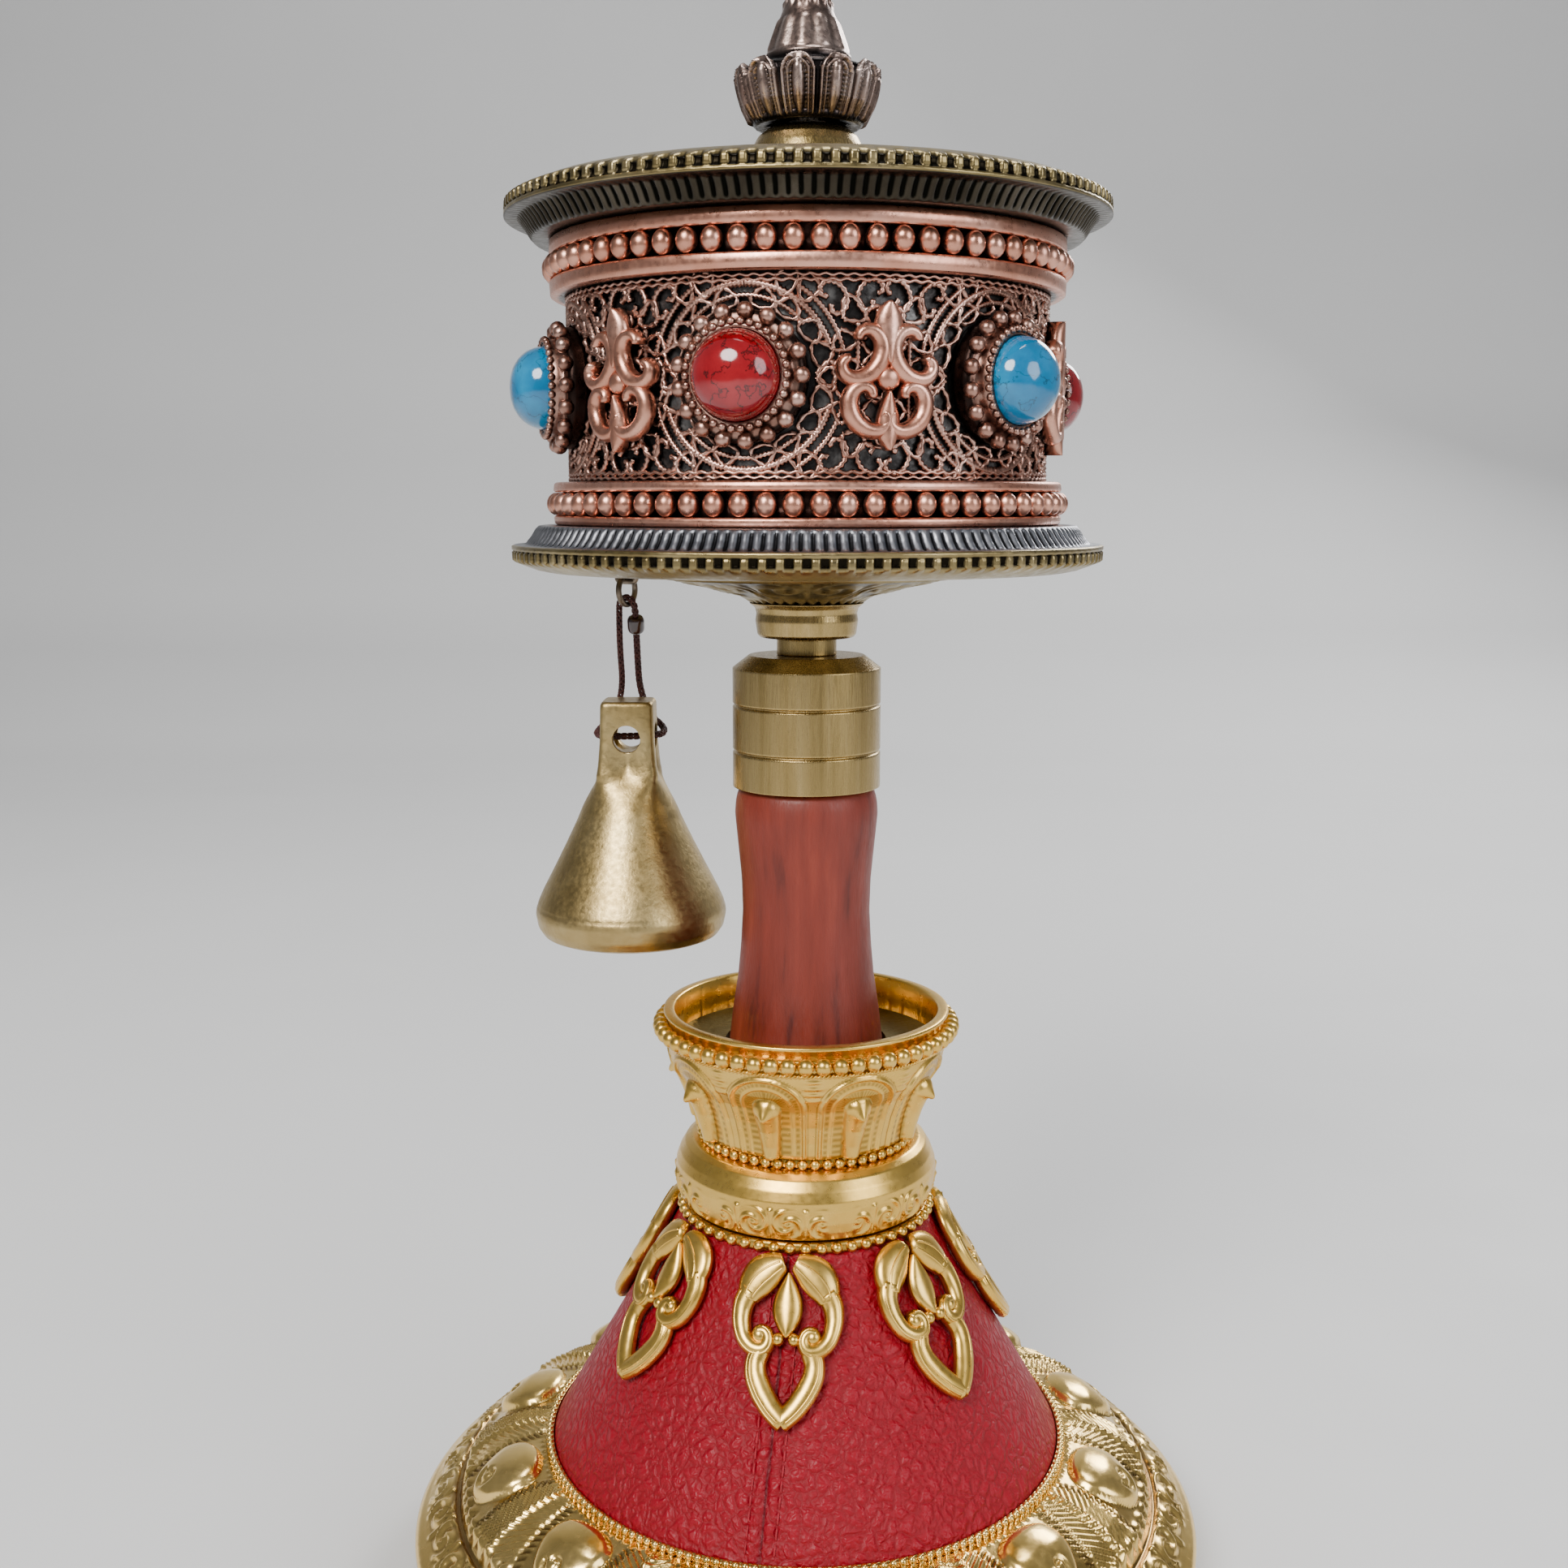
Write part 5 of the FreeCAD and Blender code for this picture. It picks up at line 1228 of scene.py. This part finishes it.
def pearl_washer(name, node, ring, count, z, size, line):
    """A beaded washer: balls half sunk in the edge of a flat ring."""
    balls = ring_balls(ring, count, z, size)
    edge = turned_points(profile_line([*line, line[0]], 40, 0.2)[:-1], 240)
    # Painted shade: the flat ring under the balls gets low relief and is painted dark; the
    # balls stay bright.
    parts = [(*balls, 0.85), (edge, grid_faces(39, 240, True), 0.25)]
    points, faces, relief = joined(parts)
    piece = add_mesh(name, points, faces, "stand", relief)
    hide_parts(node)
    return piece


collar_pearls = pearl_washer(
    "collar_pearls", "collar_beads", 16.7, 52, 52.67, (0.78, 0.8, 0.74),
    [(11.8, 51.96), (16.6, 51.96), (16.75, 52.6), (16.6, 53.35), (11.8, 53.35)])
foot_pearls = pearl_washer(
    "foot_pearls", "foot_beads", 13.98, 55, 62.85, (0.76, 0.72, 0.72),
    [(11.8, 62.25), (13.7, 62.25), (13.85, 62.8), (13.7, 63.5), (11.8, 63.5)])
rim_pearls = pearl_washer(
    "rim_pearls", "rim_beads", 19.45, 56, 77.7, (1.1, 1.1, 1.12),
    [(18.55, 77.1), (19.2, 77.1), (19.3, 77.7), (19.2, 78.3), (18.55, 78.3)])


# Cup: cast gold lotus cup. Nine arched petals stand in relief round its flare, each with a
# hatched border and a drop-shaped boss that runs down to the foot. A rope of two wires
# lies under its lip, and a dull disc inside it guides the handle.
def lotus_cup():
    """The cup's outline, outside and in, with nine petals raised on its outside. Each boss
    is half an egg at its head, with a nub, and narrows evenly down to the foot."""
    line = stepped([
        (11.8, 63.57, 0), (13.6, 63.57, 2), (14.3, 63.65, 3), (14.55, 64.2, 4),
        (14.9, 66.0, 10), (15.6, 68.4, 14), (16.6, 70.8, 14), (17.9, 72.9, 14),
        (18.45, 74.8, 12), (18.62, 76.0, 6), (18.55, 77.0, 4), (18.5, 78.7, 3),
        (18.8, 79.2, 3), (19.06, 79.6, 3), (19.0, 79.9, 2), (18.7, 80.0, 2),
        (17.8, 80.0, 2), (17.6, 79.8, 1), (17.6, 73.8, 2), (11.8, 73.8, 1)])
    angle = round_angles(810)
    r, z = line[:, :1], line[:, 1:]
    cell = (angle + math.radians(67 + 20)) * 9 / (2 * np.pi)
    x = ((cell % 1.0) * 2 - 1)[None]
    outer = (r > 13.9) & (z < 77.0)
    shape = petal(x + 0 * r, (z - 63.4) / 12.9 + 0 * x) * outer
    aside, drop_share = x * np.pi * r / 9, np.clip((71.0 - z) / 7.2, 0, 1)
    wide = 1.85 * (1 - 0.42 * drop_share)
    above = np.clip(z - 71.0, 0, 9) / 1.6
    boss = np.sqrt(np.clip(1 - (aside / wide) ** 2 - above ** 2, 0, 1))
    boss = boss * (1 - 0.15 * drop_share) * between(z, 64.0, 80, 0.6) * outer
    nub = np.exp(-((aside / 0.62) ** 2 + ((z - 71.2) / 0.62) ** 2)) * outer
    spandrel = (hump(np.abs(x), 1.0, 0.16) * between(z, 72.2, 76.0, 0.8)
                * (0.5 + 0.5 * np.cos(z * 7.0))) * outer
    within = shape > 0
    height = np.maximum(0.85 * shape - 0.45 * within, 1.5 * boss) + 0.85 * nub
    height = (height + 0.2 * spandrel) * outer * between(z, 63.9, 76.6, 0.5)
    # Painted shade: the petals' hollows and the ground between the raised work get low
    # relief, and satin gold paints them dark; the bosses and rims stay bright.
    low = np.where(within, 0.15, 0.6)
    relief = np.where(outer, np.clip(low + 0.9 * shape + 1.2 * boss + 0.3 * spandrel, 0, 1),
                      0.8)
    return add_mesh("lotus_cup", turned_points(line, 810, height),
                    grid_faces(len(line), 810, True), "stand", relief)


cup_piece = lotus_cup()
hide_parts("cup")
rope_parts = []
for phase in (0.0, math.pi):
    turn = round_angles(1100)
    spin = turn * 110 + phase
    out = directions(turn)
    middle = out * (18.98 + 0.14 * np.cos(spin))[:, None]
    middle[:, 2] = 76.3 + 0.14 * np.sin(spin)
    section = np.arange(6) * np.pi / 3
    points = (middle[:, None] + out[:, None] * 0.2 * np.cos(section)[None, :, None]
              + np.array([0, 0, 1.0]) * 0.2 * np.sin(section)[None, :, None])
    rope_parts.append((points, grid_faces(1100, 6, True)[:, ::-1]))
rope_points, rope_faces, rope_relief = joined(rope_parts)
rope_piece = add_mesh("rim_rope_wire", rope_points, rope_faces, "stand", rope_relief)
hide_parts("rim_rope")
wear([collar_piece, collar_pearls, foot_pearls, rim_pearls, cup_piece, rope_piece],
     satin_gold)
wear([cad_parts["socket_disc"]], finish_material(
    "dull_gold", [(0.3, (0.17, 0.13, 0.045)), (0.7, (0.30, 0.235, 0.095))],
    (0.4, 0.6), 1.0, 180, 0.5))

# Floor and light: a plain pale sweep under and behind the object, and four large soft
# lamps: from the front left, from the right, from above and from behind.
sweep_profile = stepped([(-1.2, -0.0002, 0), (0.75, -0.0002, 20), (0.95, 0.06, 6),
                         (1.08, 0.2, 6), (1.15, 0.42, 6), (1.15, 2.4, 10)])
sweep_x = np.linspace(-2.2, 2.2, 12)
sweep = np.stack([sweep_x[None] + 0 * sweep_profile[:, :1],
                  sweep_profile[:, :1] + 0 * sweep_x[None],
                  sweep_profile[:, 1:] + 0 * sweep_x[None]], -1)
floor_mesh = bpy.data.meshes.new("floor")
i, j = np.meshgrid(np.arange(len(sweep) - 1), np.arange(11), indexing="ij")
floor_faces = np.stack([i * 12 + j, i * 12 + j + 1, i * 12 + j + 13, i * 12 + j + 12], -1)
floor_mesh.from_pydata(sweep.reshape(-1, 3), [], floor_faces.reshape(-1, 4))
floor_mesh.polygons.foreach_set("use_smooth", np.ones(len(floor_mesh.polygons), bool))
floor = bpy.data.objects.new("floor", floor_mesh)
bpy.context.scene.collection.objects.link(floor)
floor_mesh.materials.append(finish_material(
    "pale_floor", [(0.3, (0.60, 0.60, 0.60)), (0.7, (0.64, 0.64, 0.64))],
    (0.6, 0.7), 0.0, 3, 0.05))
for name, place_at, size, power, colour in (
        ("key", (-0.35, -0.75, 0.75), 0.5, 13, (1.0, 0.98, 0.95)),
        ("fill", (0.75, -0.55, 0.45), 0.6, 4.5, (0.95, 0.97, 1.0)),
        ("top", (0.05, 0.1, 1.1), 0.5, 7, (1.0, 1.0, 1.0)),
        ("back", (0.5, 0.8, 0.6), 0.4, 6, (1.0, 1.0, 1.0))):
    lamp_data = bpy.data.lights.new(name, "AREA")
    lamp_data.shape = "DISK"
    lamp_data.size = size
    lamp_data.energy = power
    lamp_data.color = colour
    lamp = bpy.data.objects.new(name, lamp_data)
    lamp.location = place_at
    lamp.rotation_euler = (Vector((0, 0, 0.11)) - Vector(place_at)).to_track_quat(
        "-Z", "Y").to_euler()
    bpy.context.scene.collection.objects.link(lamp)
world = bpy.data.worlds.new("studio")
bpy.context.scene.world = world
world.use_nodes = True
world.node_tree.nodes["Background"].inputs["Color"].default_value = (0.8, 0.82, 0.85, 1.0)
world.node_tree.nodes["Background"].inputs["Strength"].default_value = 0.28
